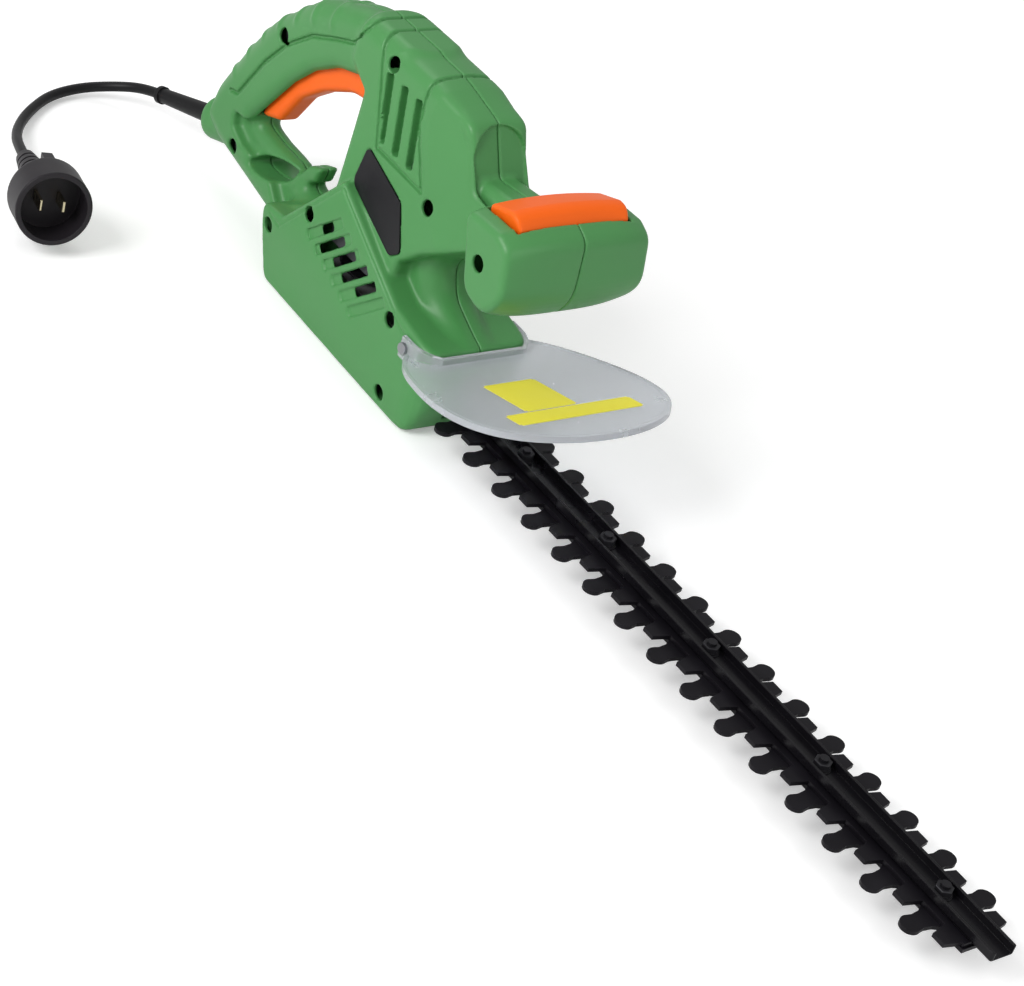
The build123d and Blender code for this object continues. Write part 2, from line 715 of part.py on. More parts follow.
def handle_block(inset):
    """Cross handle: full in the middle, smaller at its end caps."""
    end = bar_handle_half - inset
    sections = [(0, HANDLE_MIDDLE), (0.8 * bar_handle_half, HANDLE_MIDDLE), (end, HANDLE_CAP)]
    shapes = []
    for side in (-1, 1):
        faces = [Plane.XZ.offset(-side * y) * grown(corners, inset) for y, corners in sections]
        shapes.append(loft([faces[0], faces[1]], ruled=True) + loft([faces[1], faces[2]], ruled=True))
    return shapes[0] + shapes[1]


def housing_mass(inset):
    """Everything inside the skin at one depth: 0 is the outside."""
    grip = soft_slab(GRIP, grip_half, grip_round, inset)
    hand = offset(rounded_face(HAND_HOLE), inset) if inset else rounded_face(HAND_HOLE)
    grip -= extrude(Plane.XZ * hand, amount=60, both=True)
    hook = Pos(*HOOK_CENTRE) * Rot(0, 0, hook_tilt) * Ellipse(hook_half_length + inset, hook_half_width + inset)
    grip -= extrude(Plane.XZ * hook, amount=60, both=True)
    body = extrude(Plane.XZ * grown(BODY, inset), amount=40, both=True) & body_section(inset)
    mass = grip + body + pod_block(inset)
    mass += soft_slab(NECK, neck_half + 1, 5, inset)
    mass += soft_slab(WEB, neck_half + 2, 5, inset)
    mass += handle_block(inset)
    if not inset:
        mass += outer_boss()
        mass += soft_slab(HORN, horn_half, 3.5, 0)
    return mass


def outer_boss():
    """The round end of the grip where the cord comes out."""
    tip, direction = sleeve_axis()
    boss = along(tip, direction, -sleeve_length - 14, -sleeve_shown, cord_boss_radius)
    return fillet(boss.faces().sort_by(Axis.X)[0].edges(), 4)


# ---- Controls -----------------------------------------------------------------------------
TRIGGER = [(-162, 70.5, 4), (-149.5, 91, 20), (-134, 107.5, 25), (-112, 120.5, 30), (-92, 124, 12),
           (-78, 125, 3), (-75, 140, 4), (-84, 146.5, 4), (-104, 146.5, 12), (-128, 138, 25),
           (-156, 116, 25), (-177, 90, 12), (-186, 64, 3)]
TRIGGER_AXIS = (trigger_pin_x, trigger_pin_z)


def turned(face, angle):
    x, z = TRIGGER_AXIS
    return Pos(x, z) * Rot(0, 0, angle) * Pos(-x, -z) * face


def trigger():
    lever = extrude(Plane.XZ * rounded_face(TRIGGER), amount=trigger_half, both=True)
    lever = outer_edges(lever, 2.5)
    lever -= cross_post(*TRIGGER_AXIS, -20, 20, trigger_pin_radius + shaft_clearance)
    return lever


def trigger_room():
    """Space that the lever sweeps, for the opening in the shells."""
    room = None
    steps = 5
    for k in range(steps + 1):
        face = turned(offset(rounded_face(TRIGGER), trigger_clearance), -trigger_travel_deg * k / steps)
        room = face if room is None else room + face
    return extrude(Plane.XZ * room, amount=trigger_half + trigger_clearance, both=True)


BAR_SECTION = [(50.5, switch_bar_bottom, 0.6), (75.8, switch_bar_bottom, 0.6), (76.3, 152.5, 1.5),
               (68, 161.8, 3), (48.6, 156.2, 2)]
STEM_X = 64.0
TERMINAL_Z = 57.5
TRIGGER_SPRING_X = -96.0
TRIGGER_SPRING_TOP = 160.0
TRIGGER_SPRING_LOW = 146.9
GUARD_SCREW_Z = collar_top - 5.5
SPRING_SEAT_Z = switch_bar_bottom - 10.5
CONTACT_Y = 17.0


def switch_bar():
    bar = outer_edges(extrude(Plane.XZ * rounded_face(BAR_SECTION), amount=switch_bar_half, both=True), 1.2)
    crown = Pos((50 + 77) / 2, 0, 0) * Box(60, 2 * switch_bar_half + 2, 400)
    bar &= crown
    for side in (1, -1):
        y = side * switch_bar_half
        bar += block(STEM_X - 5, STEM_X + 5, y - side, y + side * 2.5, switch_bar_bottom, switch_bar_bottom + 2)
        bar -= post(STEM_X, side * bar_spring_y, switch_bar_bottom - 1, switch_bar_bottom + 3,
                    bar_spring_radius + 0.6)
    return bar


def switch_bar_room():
    c = switch_bar_clearance
    face = offset(rounded_face(BAR_SECTION), c)
    low = Pos(0, -switch_bar_travel) * face
    room = extrude(Plane.XZ * (face + low), amount=switch_bar_half + c, both=True)
    return room


def coil_spring(x, y, low, high, radius, wire, turns):
    height = high - low - 2 * wire
    path = Helix(height / turns, height, radius - wire)
    coil = sweep(Plane(origin=path @ 0, z_dir=path % 0) * Circle(wire), path=path)
    return Pos(x, y, low + wire) * coil


def bar_springs():
    return group([coil_spring(STEM_X, side * bar_spring_y, SPRING_SEAT_Z, switch_bar_bottom + 2.9,
                              bar_spring_radius, spring_wire, spring_turns) for side in (1, -1)])


# ---- Housing shells -----------------------------------------------------------------------
def shell_screws():
    solids = []
    for x, z, _ in SCREW_POINTS:
        head = cross_post(x, z, -screw_seat_y - screw_head_height, -screw_seat_y, screw_head_radius)
        solids.append(head + cross_post(x, z, -screw_seat_y - 0.2, screw_reach, screw_radius))
    return group(solids)


def bosses(side, mass):
    """Screw towers from the seam to the skin, on one side."""
    towers = None
    for x, z, half in SCREW_POINTS:
        radius = screw_head_radius + screw_clearance + boss_wall - 0.6
        tower = cross_post(x, z, 0, side * half, radius if side < 0 else screw_radius + boss_wall)
        towers = tower if towers is None else towers + tower
    return towers & mass


def vent_slots(side):
    """Six slots over the motor."""
    cut = None
    for k in range(6):
        x = vent_x + k * vent_step_x
        z = vent_z + k * vent_step_z
        slot = Pos(x, z) * Rot(0, 0, vent_angle) * SlotOverall(vent_length, vent_width)
        prism = extrude(Plane.XZ * slot, amount=-side * 60)
        cut = prism if cut is None else cut + prism
    return cut & block(-150, 60, side * 24, side * 60, 0, 120)


def hood_slots():
    """Three leaning grooves in the upper body side."""
    cut = None
    for k in range(3):
        slot = Pos(-61.2 + 13.6 * k, 141.4) * Rot(0, 0, -75) * SlotOverall(37, 5)
        prism = extrude(Plane.XZ * slot, amount=40, both=True)
        cut = prism if cut is None else cut + prism
    return cut - body_section(1.2)


def inner_ribs(side):
    """Ledges that carry the gear case, the motor and the bar springs."""
    edge = side * (case_half + 0.1)
    ribs = block(-72, -12, edge, side * 40, case_plate_z - 3, CASE_TOP)
    for x0, x1 in ((-70, IDLER_X - 10), (IDLER_X + 2, gear_x)):
        ribs += block(x0, x1, side * (case_half - 2), side * 40, case_plate_z - 3, case_plate_z)
    for x in (MOTOR_X - 18, MOTOR_X + 14):
        ribs += block(x, x + 2.5, side * (stator_size / 2 + 0.3), side * 40, stator_z - 6, stator_z + stator_height)
        ribs += block(x, x + 2.5, side * (stator_size / 2 - 3), side * 40, stator_z - 6, stator_z - 0.3)
    ribs += block(-214, -198, 0, side * 20, TERMINAL_Z - 3.5, TERMINAL_Z)
    ribs += post(TRIGGER_SPRING_X, 0, TRIGGER_SPRING_TOP, body_top_z + 5, 4) & block(-200, 0, 0, side * 20, 0, 300)
    ribs += cross_post(guard_screw_x, GUARD_SCREW_Z, side * 26, side * 50, 4)
    ribs += block(STEM_X - 7, STEM_X + 7, side * (bar_spring_y - 6), side * (bar_spring_y + 6), 100, SPRING_SEAT_Z)
    return ribs


def sleeve_axis():
    tip = Vector(*CORD_POINTS[0])
    return tip, (Vector(*CORD_POINTS[1]) - tip).normalized()


def along(origin, direction, start, end, radius, end_radius=None):
    """A round bar or cone from one distance to another along a direction."""
    middle = (start + end) / 2
    shape = Cylinder(radius, end - start) if end_radius is None else Cone(radius, end_radius, end - start)
    return Plane(origin=origin, z_dir=direction) * Pos(0, 0, middle) * shape


def shell_half(side, outside, inside):
    keep = block(-400, 200, 0, side * 100, -50, 250)
    shell = (outside - inside) & keep
    shell += bosses(side, outside)
    shell += inner_ribs(side) & outside
    for x, z, half in SCREW_POINTS:
        if side < 0:
            shell -= cross_post(x, z, -screw_seat_y, -half - 20, screw_head_radius + screw_clearance)
            shell -= cross_post(x, z, 1, -half, screw_radius + screw_clearance)
        else:
            shell -= cross_post(x, z, -1, screw_reach + 1, screw_radius + 0.03)
    shell -= trigger_room()
    shell -= cross_post(guard_screw_x, GUARD_SCREW_Z, side * 25, side * 50, guard_screw_radius + 0.05)
    shell -= switch_bar_room()
    shell -= block(STEM_X - 5.5, STEM_X + 5.5, -switch_bar_half - 2.9, switch_bar_half + 2.9,
                   switch_bar_bottom - switch_bar_travel - 0.4, switch_bar_bottom + 2.4)
    shell -= block(20, 60, -comb_spine_half - 1, comb_spine_half + 1, HEAD_TOP, BAR_Z)
    shell -= block(20, 60, -bar_half_width - 0.4, bar_half_width + 0.4, BAR_Z - 1, BAR_Z + bar_height + 4)
    shell -= vent_slots(side)
    shell -= hood_slots()
    shell -= badge_prism(0.15) - body_section(badge_depth + 0.05)
    pin_end = side * (trigger_half + 2.9)
    shell += (cross_post(*TRIGGER_AXIS, side * (trigger_half + 0.55), side * 40, 5) & outside)
    shell -= cross_post(*TRIGGER_AXIS, 0, pin_end, trigger_pin_radius + 0.03)
    tip, direction = sleeve_axis()
    shell -= along(tip, direction, -sleeve_length - 14, 5, sleeve_base_radius + 0.1)
    shell -= along(tip, direction, -sleeve_length + 3.9, -sleeve_length + 8.1, sleeve_flange_radius + 0.1)
    return shell


def badge_prism(grow):
    face = offset(rounded_face(BADGE), grow) if grow else rounded_face(BADGE)
    return extrude(Plane.XZ * face, amount=40, both=True)


def badge(side):
    plate = badge_prism(0) & (body_section(-badge_proud) - body_section(badge_depth))
    return plate & block(-400, 200, side * 5, side * 100, 0, 250)


# ---- Guard --------------------------------------------------------------------------------
GUARD_X = nose_front_x + collar_gap
GUARD_Z = 46.0


def guard_plan(inset):
    """Plan of the plate in its own tilted plane: along the plate, across it."""
    w = guard_half_width - inset
    reach = guard_reach - inset
    rear = -16 + inset
    right = [(rear, -0.56 * w), (-2, -0.74 * w), (22, -0.895 * w), (55, -w), (80, -0.95 * w),
             (reach - 18, -0.79 * w), (reach - 5, -0.46 * w), (reach, 0)]
    left = [(x, -y) for x, y in reversed(right[:-1])]
    return make_face(Spline(*right, *left) + Line(left[-1], right[0]))


def guard():
    tilt = Plane(origin=(GUARD_X, 0, GUARD_Z), x_dir=(math.cos(math.radians(guard_tilt_deg)), 0,
                                                     math.sin(math.radians(guard_tilt_deg))), z_dir=(
        -math.sin(math.radians(guard_tilt_deg)), 0, math.cos(math.radians(guard_tilt_deg))))
    plate = extrude(guard_plan(0), amount=guard_thickness)
    rim = extrude(guard_plan(0), amount=guard_rim) - extrude(guard_plan(2.4), amount=2 * guard_rim)
    shape = tilt * (plate + rim)
    hug = rounded_face(POD_PLAN) & Pos(GUARD_X + 0.6 - 200, 0) * Rectangle(400, 200)
    inner = offset(hug, collar_gap)
    outer = offset(hug, collar_gap + collar_thickness)
    z0 = collar_top - collar_height
    collar = extrude(outer, amount=collar_height) & block(GUARD_X - 22, 200, -80, 80, 0, 200)
    room = extrude(inner, amount=60)
    shape = (shape + Pos(0, 0, z0) * collar) - Pos(0, 0, z0 - 25) * room
    return shape - cross_post(guard_screw_x, GUARD_SCREW_Z, -80, 80, guard_screw_radius + 0.1)


def guard_screws():
    seat = nose_half + collar_gap + collar_thickness
    solids = []
    for side in (1, -1):
        head = cross_post(guard_screw_x, GUARD_SCREW_Z, side * (seat + 0.05), side * (seat + 1.8), 3.2)
        shank = cross_post(guard_screw_x, GUARD_SCREW_Z, side * (seat + 0.2), side * 27, guard_screw_radius)
        solids.append(head + shank)
    return group(solids)


# ---- Cord and plug ------------------------------------------------------------------------
CORD_POINTS = [(-286, -7, 20), (-301.3, -9.2, 15.9), (-316, -20, 9.5), (-324, -38, 5.2), (-320, -60, 3.9),
               (-307, -79, 3.9), (-290, -96, 5.0), (-270, -109.5, 8.8), (-251, -117.5, 13.0),
               (-234, -122.5, 16.0)]
PLUG_AXIS = (Vector(*CORD_POINTS[-1]) - Vector(*CORD_POINTS[-2])).normalized()
PLUG_REAR = Vector(*CORD_POINTS[-1]) + PLUG_AXIS * plug_boot_length


def cord():
    points = [Vector(*p) for p in CORD_POINTS]
    radii = []
    for a, b, c in zip(points, points[1:], points[2:]):
        turn = math.radians((b - a).get_angle(c - b))
        radii.append(0.45 * min((b - a).length, (c - b).length) / math.tan(turn / 2))
    path = FilletPolyline(*points, radius=radii)
    print("cord bend radii", [round(r) for r in radii], "length", round(path.length, 1))
    start = Plane(origin=points[0], z_dir=path % 0)
    tube = sweep(start * Circle(cord_radius), path=path)
    print("cord volume ratio", round(tube.volume / (math.pi * cord_radius ** 2 * path.length), 4))
    return tube


def strain_relief():
    tip, direction = sleeve_axis()
    shape = along(tip, direction, -sleeve_length, 0, sleeve_base_radius, sleeve_tip_radius)
    shape += along(tip, direction, -sleeve_length, -sleeve_length + 12, sleeve_base_radius)
    shape += along(tip, direction, -sleeve_length + 4, -sleeve_length + 8, sleeve_flange_radius)
    shape += along(tip, direction, -3, 0, sleeve_tip_radius + 1.0)
    return shape


def plug():
    side = Vector(0, 0, 1).cross(PLUG_AXIS).normalized()
    plane = Plane(origin=PLUG_REAR, x_dir=side, z_dir=PLUG_AXIS)
    cup = Pos(0, 0, plug_depth / 2) * Cylinder(plug_radius, plug_depth)
    cup = fillet(cup.faces().sort_by(Axis.Z)[0].edges(), 4)
    cup = fillet(cup.faces().sort_by(Axis.Z)[-1].edges(), 1)
    cup -= Pos(0, 0, plug_depth / 2 + plug_floor) * Cylinder(plug_radius - plug_wall, plug_depth)
    neck = Pos(0, 0, -plug_boot_length / 2) * Cone(cord_radius + 2.4, 11, plug_boot_length)
    neck -= Pos(0, 0, 0) * Cylinder(0.01, 0.01)
    for k in range(5):
        z = -plug_boot_length + 8 + 7 * k
        neck -= Pos(0, 0, z) * (Cylinder(20, 2.2) - Cylinder(cord_radius + 2.0 + 0.8 * k, 2.2))
    body = cup + neck
    tab = Pos(0, plug_radius - 4, -3) * Box(6, 6, 8)
    body += tab
    blades = []
    for s in (1, -1):
        x = s * plug_blade_spacing / 2
        slot = Pos(x, 0, plug_floor + plug_blade_length / 2 - 4) * Box(plug_blade_thickness, plug_blade_width,
                                                                      plug_blade_length + 4)
        blades.append(plane * chamfer(slot.faces().sort_by(Axis.Z)[-1].edges(), 0.4))
        body -= Pos(x, 0, plug_floor - 3) * Box(plug_blade_thickness + 0.04, plug_blade_width + 0.04, 6.1)
    return plane * body, group(blades)


# ---- Small electrical parts ---------------------------------------------------------------
SWITCH_Z = 147.5
SWITCH_X0, SWITCH_X1 = -132.0, -107.0
PLUNGER_X = -124.0


def rear_switch():
    body = block(SWITCH_X0, SWITCH_X1, -6, 6, SWITCH_Z, SWITCH_Z + 10.5)
    body = chamfer(body.edges().filter_by(Axis.Y), 0.6)
    return body - post(PLUNGER_X, 0, SWITCH_Z - 1, SWITCH_Z + 7, plunger_radius + 0.06)


def lead(points, bend):
    path = FilletPolyline(*points, radius=bend)
    return sweep(Plane(origin=path @ 0, z_dir=path % 0) * Circle(lead_radius), path=path)


def internal_leads():
    solids = []
    for side in (1, -1):
        y = 4 * side
        solids.append(lead([(-206, y, 68), (-206, y, 80), (-203, y, 94.6), (-185.5, y, 121),
                            (-150.7, y, 151), (-142, y, 153), (SWITCH_X0, y, 153)], 5))
        solids.append(lead([(SWITCH_X1, y, 152), (-88, y, 152), (-70, y, 145), (-66, y, 120),
                            (-66, y, BRACKET_Z + bracket_thickness)], 6))
    return group(solids)


outside = housing_mass(0)
inside = housing_mass(wall)
write("housing_right", shell_half(-1, outside, inside))
write("housing_left", shell_half(1, outside, inside))
write("housing_screws", shell_screws())
write("nameplate_right", badge(-1))
write("nameplate_left", badge(1))
write("rear_trigger", trigger())
write("trigger_pin", cross_post(*TRIGGER_AXIS, -trigger_half - 2.8, trigger_half + 2.8, trigger_pin_radius))
write("front_switch_bar", switch_bar())
write("front_bar_springs", bar_springs())
write("guard", guard())
write("strain_relief", strain_relief())
write("cord", cord())
plug_body, plug_blades = plug()
write("plug_body", plug_body)
write("plug_blades", plug_blades)
write("rear_switch", rear_switch())
write("rear_plunger", post(PLUNGER_X, 0, SWITCH_Z - 7.1, SWITCH_Z + 2, plunger_radius))
write("internal_leads", internal_leads())
write("terminal_block", block(-212, -200, -7, 7, TERMINAL_Z, TERMINAL_Z + 10.5))
write("capacitor", block(-31, -13, -20.8, -11, 120, 134))
front_switch = block(STEM_X - 8, STEM_X + 8, CONTACT_Y - 3.2, CONTACT_Y + 3.2, 134.4, 142.4)
write("front_switch", front_switch - post(STEM_X, CONTACT_Y, 135.4, 143, 1.56))
write("front_plunger", post(STEM_X, CONTACT_Y, 139.8, switch_bar_bottom - 0.2, 1.5))
write("guard_screws", guard_screws())
write("trigger_spring", coil_spring(TRIGGER_SPRING_X, 0, TRIGGER_SPRING_LOW, TRIGGER_SPRING_TOP - 0.1, 2.5, 0.4, 5))
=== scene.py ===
import logging
import math
from dataclasses import dataclass, field
from enum import Enum

import bmesh
import bpy
import numpy as np
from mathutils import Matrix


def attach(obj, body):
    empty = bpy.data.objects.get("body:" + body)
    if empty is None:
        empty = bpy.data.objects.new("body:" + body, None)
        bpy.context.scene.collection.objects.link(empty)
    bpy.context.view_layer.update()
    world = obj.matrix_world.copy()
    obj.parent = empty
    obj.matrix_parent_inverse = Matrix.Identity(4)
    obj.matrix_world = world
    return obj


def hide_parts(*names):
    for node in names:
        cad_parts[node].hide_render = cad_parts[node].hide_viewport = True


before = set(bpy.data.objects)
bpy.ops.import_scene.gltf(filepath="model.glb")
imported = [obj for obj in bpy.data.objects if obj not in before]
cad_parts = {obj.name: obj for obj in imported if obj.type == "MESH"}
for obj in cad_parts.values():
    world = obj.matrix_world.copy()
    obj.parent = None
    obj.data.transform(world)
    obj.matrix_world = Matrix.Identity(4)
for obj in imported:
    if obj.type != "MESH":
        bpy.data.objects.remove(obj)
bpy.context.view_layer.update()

import openvdb
from mathutils import Matrix, Vector

LOG = logging.getLogger("hedge_trimmer")
Colour = tuple[float, float, float]
Point = tuple[float, float, float]
Pair = tuple[float, float]
Outline = list[Point]
Line = list[Pair]
Area = tuple[float, float, float, float]
Link = tuple[bpy.types.NodeSocket, bpy.types.NodeSocket]
WHITE = (1.0, 1.0, 1.0, 1.0)
MEAN_HAZE = 0.07  # about what the dust group adds to the roughness
MM_IN_M = 1000


class Effect(Enum):
    """Shared surface effects, each one a shader node group."""

    GRAIN = "moulded_grain"
    WEAR = "rubbed_edges"
    DUST = "settled_dust"


def linear(red: int, green: int, blue: int) -> Colour:
    """Turn a colour of 0 to 255 steps into linear light.

    Args:
        red: Red step.
        green: Green step.
        blue: Blue step.

    Returns:
        The linear colour.
    """
    return tuple(((c / 255 + 0.055) / 1.055) ** 2.4 if c > 10 else c / 3294.6 for c in (red, green, blue))


def group_with(effect: Effect, inputs: dict[str, float], outputs: list[str]) -> bpy.types.NodeTree:
    """Start a node group with named float sockets.

    Args:
        effect: The effect that the group makes.
        inputs: Input names and their starting values.
        outputs: Output names.

    Returns:
        The new group, with its two end nodes in it.
    """
    tree = bpy.data.node_groups.new(effect.value, "ShaderNodeTree")
    for name, value in inputs.items():
        socket = tree.interface.new_socket(name, in_out="INPUT", socket_type="NodeSocketFloat")
        socket.default_value = value
    for name in outputs:
        tree.interface.new_socket(name, in_out="OUTPUT", socket_type="NodeSocketFloat")
    tree.nodes.new("NodeGroupInput")
    tree.nodes.new("NodeGroupOutput")
    return tree


def new_node(tree: bpy.types.NodeTree, kind: str, operation: str = "") -> bpy.types.Node:
    """Add a shader node to a tree.

    Args:
        tree: The node tree.
        kind: The node's type without its "ShaderNode" start.
        operation: What a maths node works out.

    Returns:
        The node.
    """
    node = tree.nodes.new("ShaderNode" + kind)
    if operation:
        node.operation = operation
    return node


def colour_mix(tree: bpy.types.NodeTree) -> bpy.types.Node:
    """Add a node that mixes two colours.

    Args:
        tree: The node tree.

    Returns:
        The node.
    """
    node = new_node(tree, "Mix")
    node.data_type = "RGBA"
    return node


def preset(node: bpy.types.Node, values: dict[str | int, float | tuple[float, ...]]) -> None:
    """Set the constants of a node's input sockets.

    Args:
        node: The node.
        values: Each socket's name or number, with its constant.
    """
    for socket, value in values.items():
        node.inputs[socket].default_value = value


def wire(tree: bpy.types.NodeTree, *links: Link) -> None:
    """Link output sockets to input sockets.

    Args:
        tree: The node tree.
        links: Pairs of an output and the input that it feeds.
    """
    for source, target in links:
        tree.links.new(source, target)


@dataclass
class SharedEffects:
    """Builds each shared node group once."""

    made: dict[Effect, bpy.types.NodeTree] = field(default_factory=dict)

    def build(self) -> None:
        """Make all of the groups."""
        self.made[Effect.GRAIN] = self.grain()
        self.made[Effect.WEAR] = self.wear()
        self.made[Effect.DUST] = self.dust()

    def grain(self) -> bpy.types.NodeTree:
        """Fine spark-eroded mould grain.

        Returns:
            A group that puts out the grain's height and a broad mottle.
        """
        tree = group_with(Effect.GRAIN, {"Grain Scale": 900.0, "Mottle Scale": 22.0}, ["Height", "Mottle"])
        start, end = tree.nodes["Group Input"], tree.nodes["Group Output"]
        where = new_node(tree, "TexCoord")
        for scale, detail, output in (("Grain Scale", 3.0, "Height"), ("Mottle Scale", 4.0, "Mottle")):
            noise = new_node(tree, "TexNoise")
            preset(noise, {"Detail": detail})
            wire(tree, (where.outputs["Object"], noise.inputs["Vector"]),
                 (start.outputs[scale], noise.inputs["Scale"]), (noise.outputs["Fac"], end.inputs[output]))
        return tree

    def wear(self) -> bpy.types.NodeTree:
        """Light rubbing on outside edges.

        Returns:
            A group that puts out a mask of the rubbed edges.
        """
        tree = group_with(Effect.WEAR, {"Amount": 0.4, "Break Up": 60.0}, ["Mask"])
        start, end = tree.nodes["Group Input"], tree.nodes["Group Output"]
        shape = new_node(tree, "NewGeometry")
        span = new_node(tree, "MapRange")
        preset(span, {"From Min": 0.52, "From Max": 0.62})
        where = new_node(tree, "TexCoord")
        noise = new_node(tree, "TexNoise")
        both = new_node(tree, "Math", "MULTIPLY")
        amount = new_node(tree, "Math", "MULTIPLY")
        amount.use_clamp = True
        wire(tree, (where.outputs["Object"], noise.inputs["Vector"]),
             (start.outputs["Break Up"], noise.inputs["Scale"]),
             (shape.outputs["Pointiness"], span.inputs["Value"]),
             (span.outputs["Result"], both.inputs[0]), (noise.outputs["Fac"], both.inputs[1]),
             (both.outputs["Value"], amount.inputs[0]), (start.outputs["Amount"], amount.inputs[1]),
             (amount.outputs["Value"], end.inputs["Mask"]))
        return tree

    def dust(self) -> bpy.types.NodeTree:
        """A thin uneven haze, as handled parts have.

        Returns:
            A group that puts out the haze's mask.
        """
        tree = group_with(Effect.DUST, {"Scale": 45.0, "Amount": 0.15}, ["Mask"])
        start, end = tree.nodes["Group Input"], tree.nodes["Group Output"]
        where = new_node(tree, "TexCoord")
        noise = new_node(tree, "TexNoise")
        preset(noise, {"Detail": 8.0})
        scale = new_node(tree, "Math", "MULTIPLY")
        wire(tree, (where.outputs["Object"], noise.inputs["Vector"]),
             (start.outputs["Scale"], noise.inputs["Scale"]), (noise.outputs["Fac"], scale.inputs[0]),
             (start.outputs["Amount"], scale.inputs[1]), (scale.outputs["Value"], end.inputs["Mask"]))
        return tree


@dataclass(frozen=True)
class Finish:
    """One finish: its colours, its gloss and the depth of its grain.

    grain is the grain's scale and depth its height in metres. mottle is how far the colour varies, and wear
    how strongly outside edges are rubbed to the worn colour. soften is the radius in metres over which a
    sharp edge shades as a rounded one.
    """

    name: str
    colour: Colour
    worn: Colour
    roughness: float
    metallic: float = 0.0
    specular: float = 0.4
    grain: float = 900.0
    depth: float = 0.00002
    mottle: float = 0.06
    wear: float = 0.3
    soften: float = 0.0006
    transmission: float = 0.0

    def material(self, effects: SharedEffects) -> bpy.types.Material:
        """Build the finish's material.

        Args:
            effects: The shared node groups.

        Returns:
            The material.
        """
        material = bpy.data.materials.new(self.name)
        material.use_nodes = True
        tree = material.node_tree
        shader = tree.nodes["Principled BSDF"]
        preset(shader, {"Metallic": self.metallic, "Specular IOR Level": self.specular,
                        "Transmission Weight": self.transmission})
        grain, wear, haze = (new_node(tree, "Group") for _ in range(3))
        grain.node_tree = effects.made[Effect.GRAIN]
        preset(grain, {"Grain Scale": self.grain})
        wear.node_tree = effects.made[Effect.WEAR]
        preset(wear, {"Amount": self.wear})
        haze.node_tree = effects.made[Effect.DUST]
        tone = colour_mix(tree)
        preset(tone, {"A": (*[c * (1 - self.mottle) for c in self.colour], 1),
                      "B": (*[min(1, c * (1 + self.mottle)) for c in self.colour], 1)})
        rub = colour_mix(tree)
        preset(rub, {"B": (*self.worn, 1)})
        gloss = new_node(tree, "Math", "ADD")
        preset(gloss, {1: self.roughness - MEAN_HAZE})
        bump = new_node(tree, "Bump")
        preset(bump, {"Distance": self.depth})
        wire(tree, (grain.outputs["Mottle"], tone.inputs["Factor"]),
             (tone.outputs["Result"], rub.inputs["A"]), (wear.outputs["Mask"], rub.inputs["Factor"]),
             (rub.outputs["Result"], shader.inputs["Base Color"]),
             (haze.outputs["Mask"], gloss.inputs[0]), (gloss.outputs["Value"], shader.inputs["Roughness"]),
             (grain.outputs["Height"], bump.inputs["Height"]),
             (bump.outputs["Normal"], shader.inputs["Normal"]))
        if self.soften:
            edge = new_node(tree, "Bevel")
            edge.samples = 4
            preset(edge, {"Radius": self.soften})
            wire(tree, (edge.outputs["Normal"], bump.inputs["Normal"]))
        return material


GREEN = Finish("green_moulding", linear(74, 139, 78), linear(96, 160, 104), 0.4, specular=0.36, soften=0.0)
ORANGE = Finish("orange_moulding", linear(248, 102, 14), linear(250, 140, 70), 0.42, specular=0.25,
                soften=0.0012)
BLACK = Finish("black_moulding", linear(20, 19, 23), linear(44, 44, 48), 0.5, specular=0.25)
BADGE = Finish("badge_black", linear(18, 17, 21), linear(36, 36, 40), 0.32, specular=0.3, grain=1400.0)
CLEAR = Finish("clear_guard", linear(238, 241, 246), linear(250, 251, 253), 0.24, grain=500.0, mottle=0.02,
               wear=0.1, transmission=0.72, soften=0.0, depth=0.00001)
BLADE = Finish("blackened_blade", linear(13, 11, 15), linear(52, 50, 57), 0.34, specular=0.14, grain=1500.0,
               soften=0.0003)
BAR = Finish("black_bar_paint", linear(7, 6, 9), linear(40, 38, 44), 0.26, specular=0.22, soften=0.0005)
ZINC = Finish("zinc_plate", linear(150, 150, 156), linear(200, 200, 204), 0.35, metallic=1.0, soften=0.0003)
DARK_SCREW = Finish("black_zinc", linear(26, 25, 29), linear(80, 80, 84), 0.38, metallic=0.4, specular=0.3,
                    soften=0.0003)
STEEL = Finish("machined_steel", linear(150, 150, 154), linear(190, 190, 194), 0.3, metallic=1.0,
               grain=2200.0, soften=0.0003)
CASE = Finish("cast_case", linear(168, 168, 172), linear(200, 200, 204), 0.55, metallic=0.9, grain=350.0,
              depth=0.00006)
IRON = Finish("laminated_iron", linear(96, 96, 102), linear(130, 130, 134), 0.5, metallic=0.8, grain=2600.0)
COPPER = Finish("enamelled_copper", linear(168, 92, 52), linear(206, 140, 96), 0.3, metallic=0.7,
                grain=3000.0, depth=0.0001)
BRASS = Finish("nickelled_brass", linear(208, 196, 160), linear(230, 224, 200), 0.22, metallic=1.0,
               soften=0.0003)
RUBBER = Finish("cord_jacket", linear(16, 16, 18), linear(36, 36, 38), 0.42, specular=0.25, grain=700.0)
PLUG = Finish("plug_rubber", linear(34, 31, 35), linear(56, 54, 58), 0.42, specular=0.25, grain=600.0,
              soften=0.0008)
YELLOW = Finish("yellow_label", linear(246, 234, 58), linear(236, 226, 120), 0.5, soften=0.0)

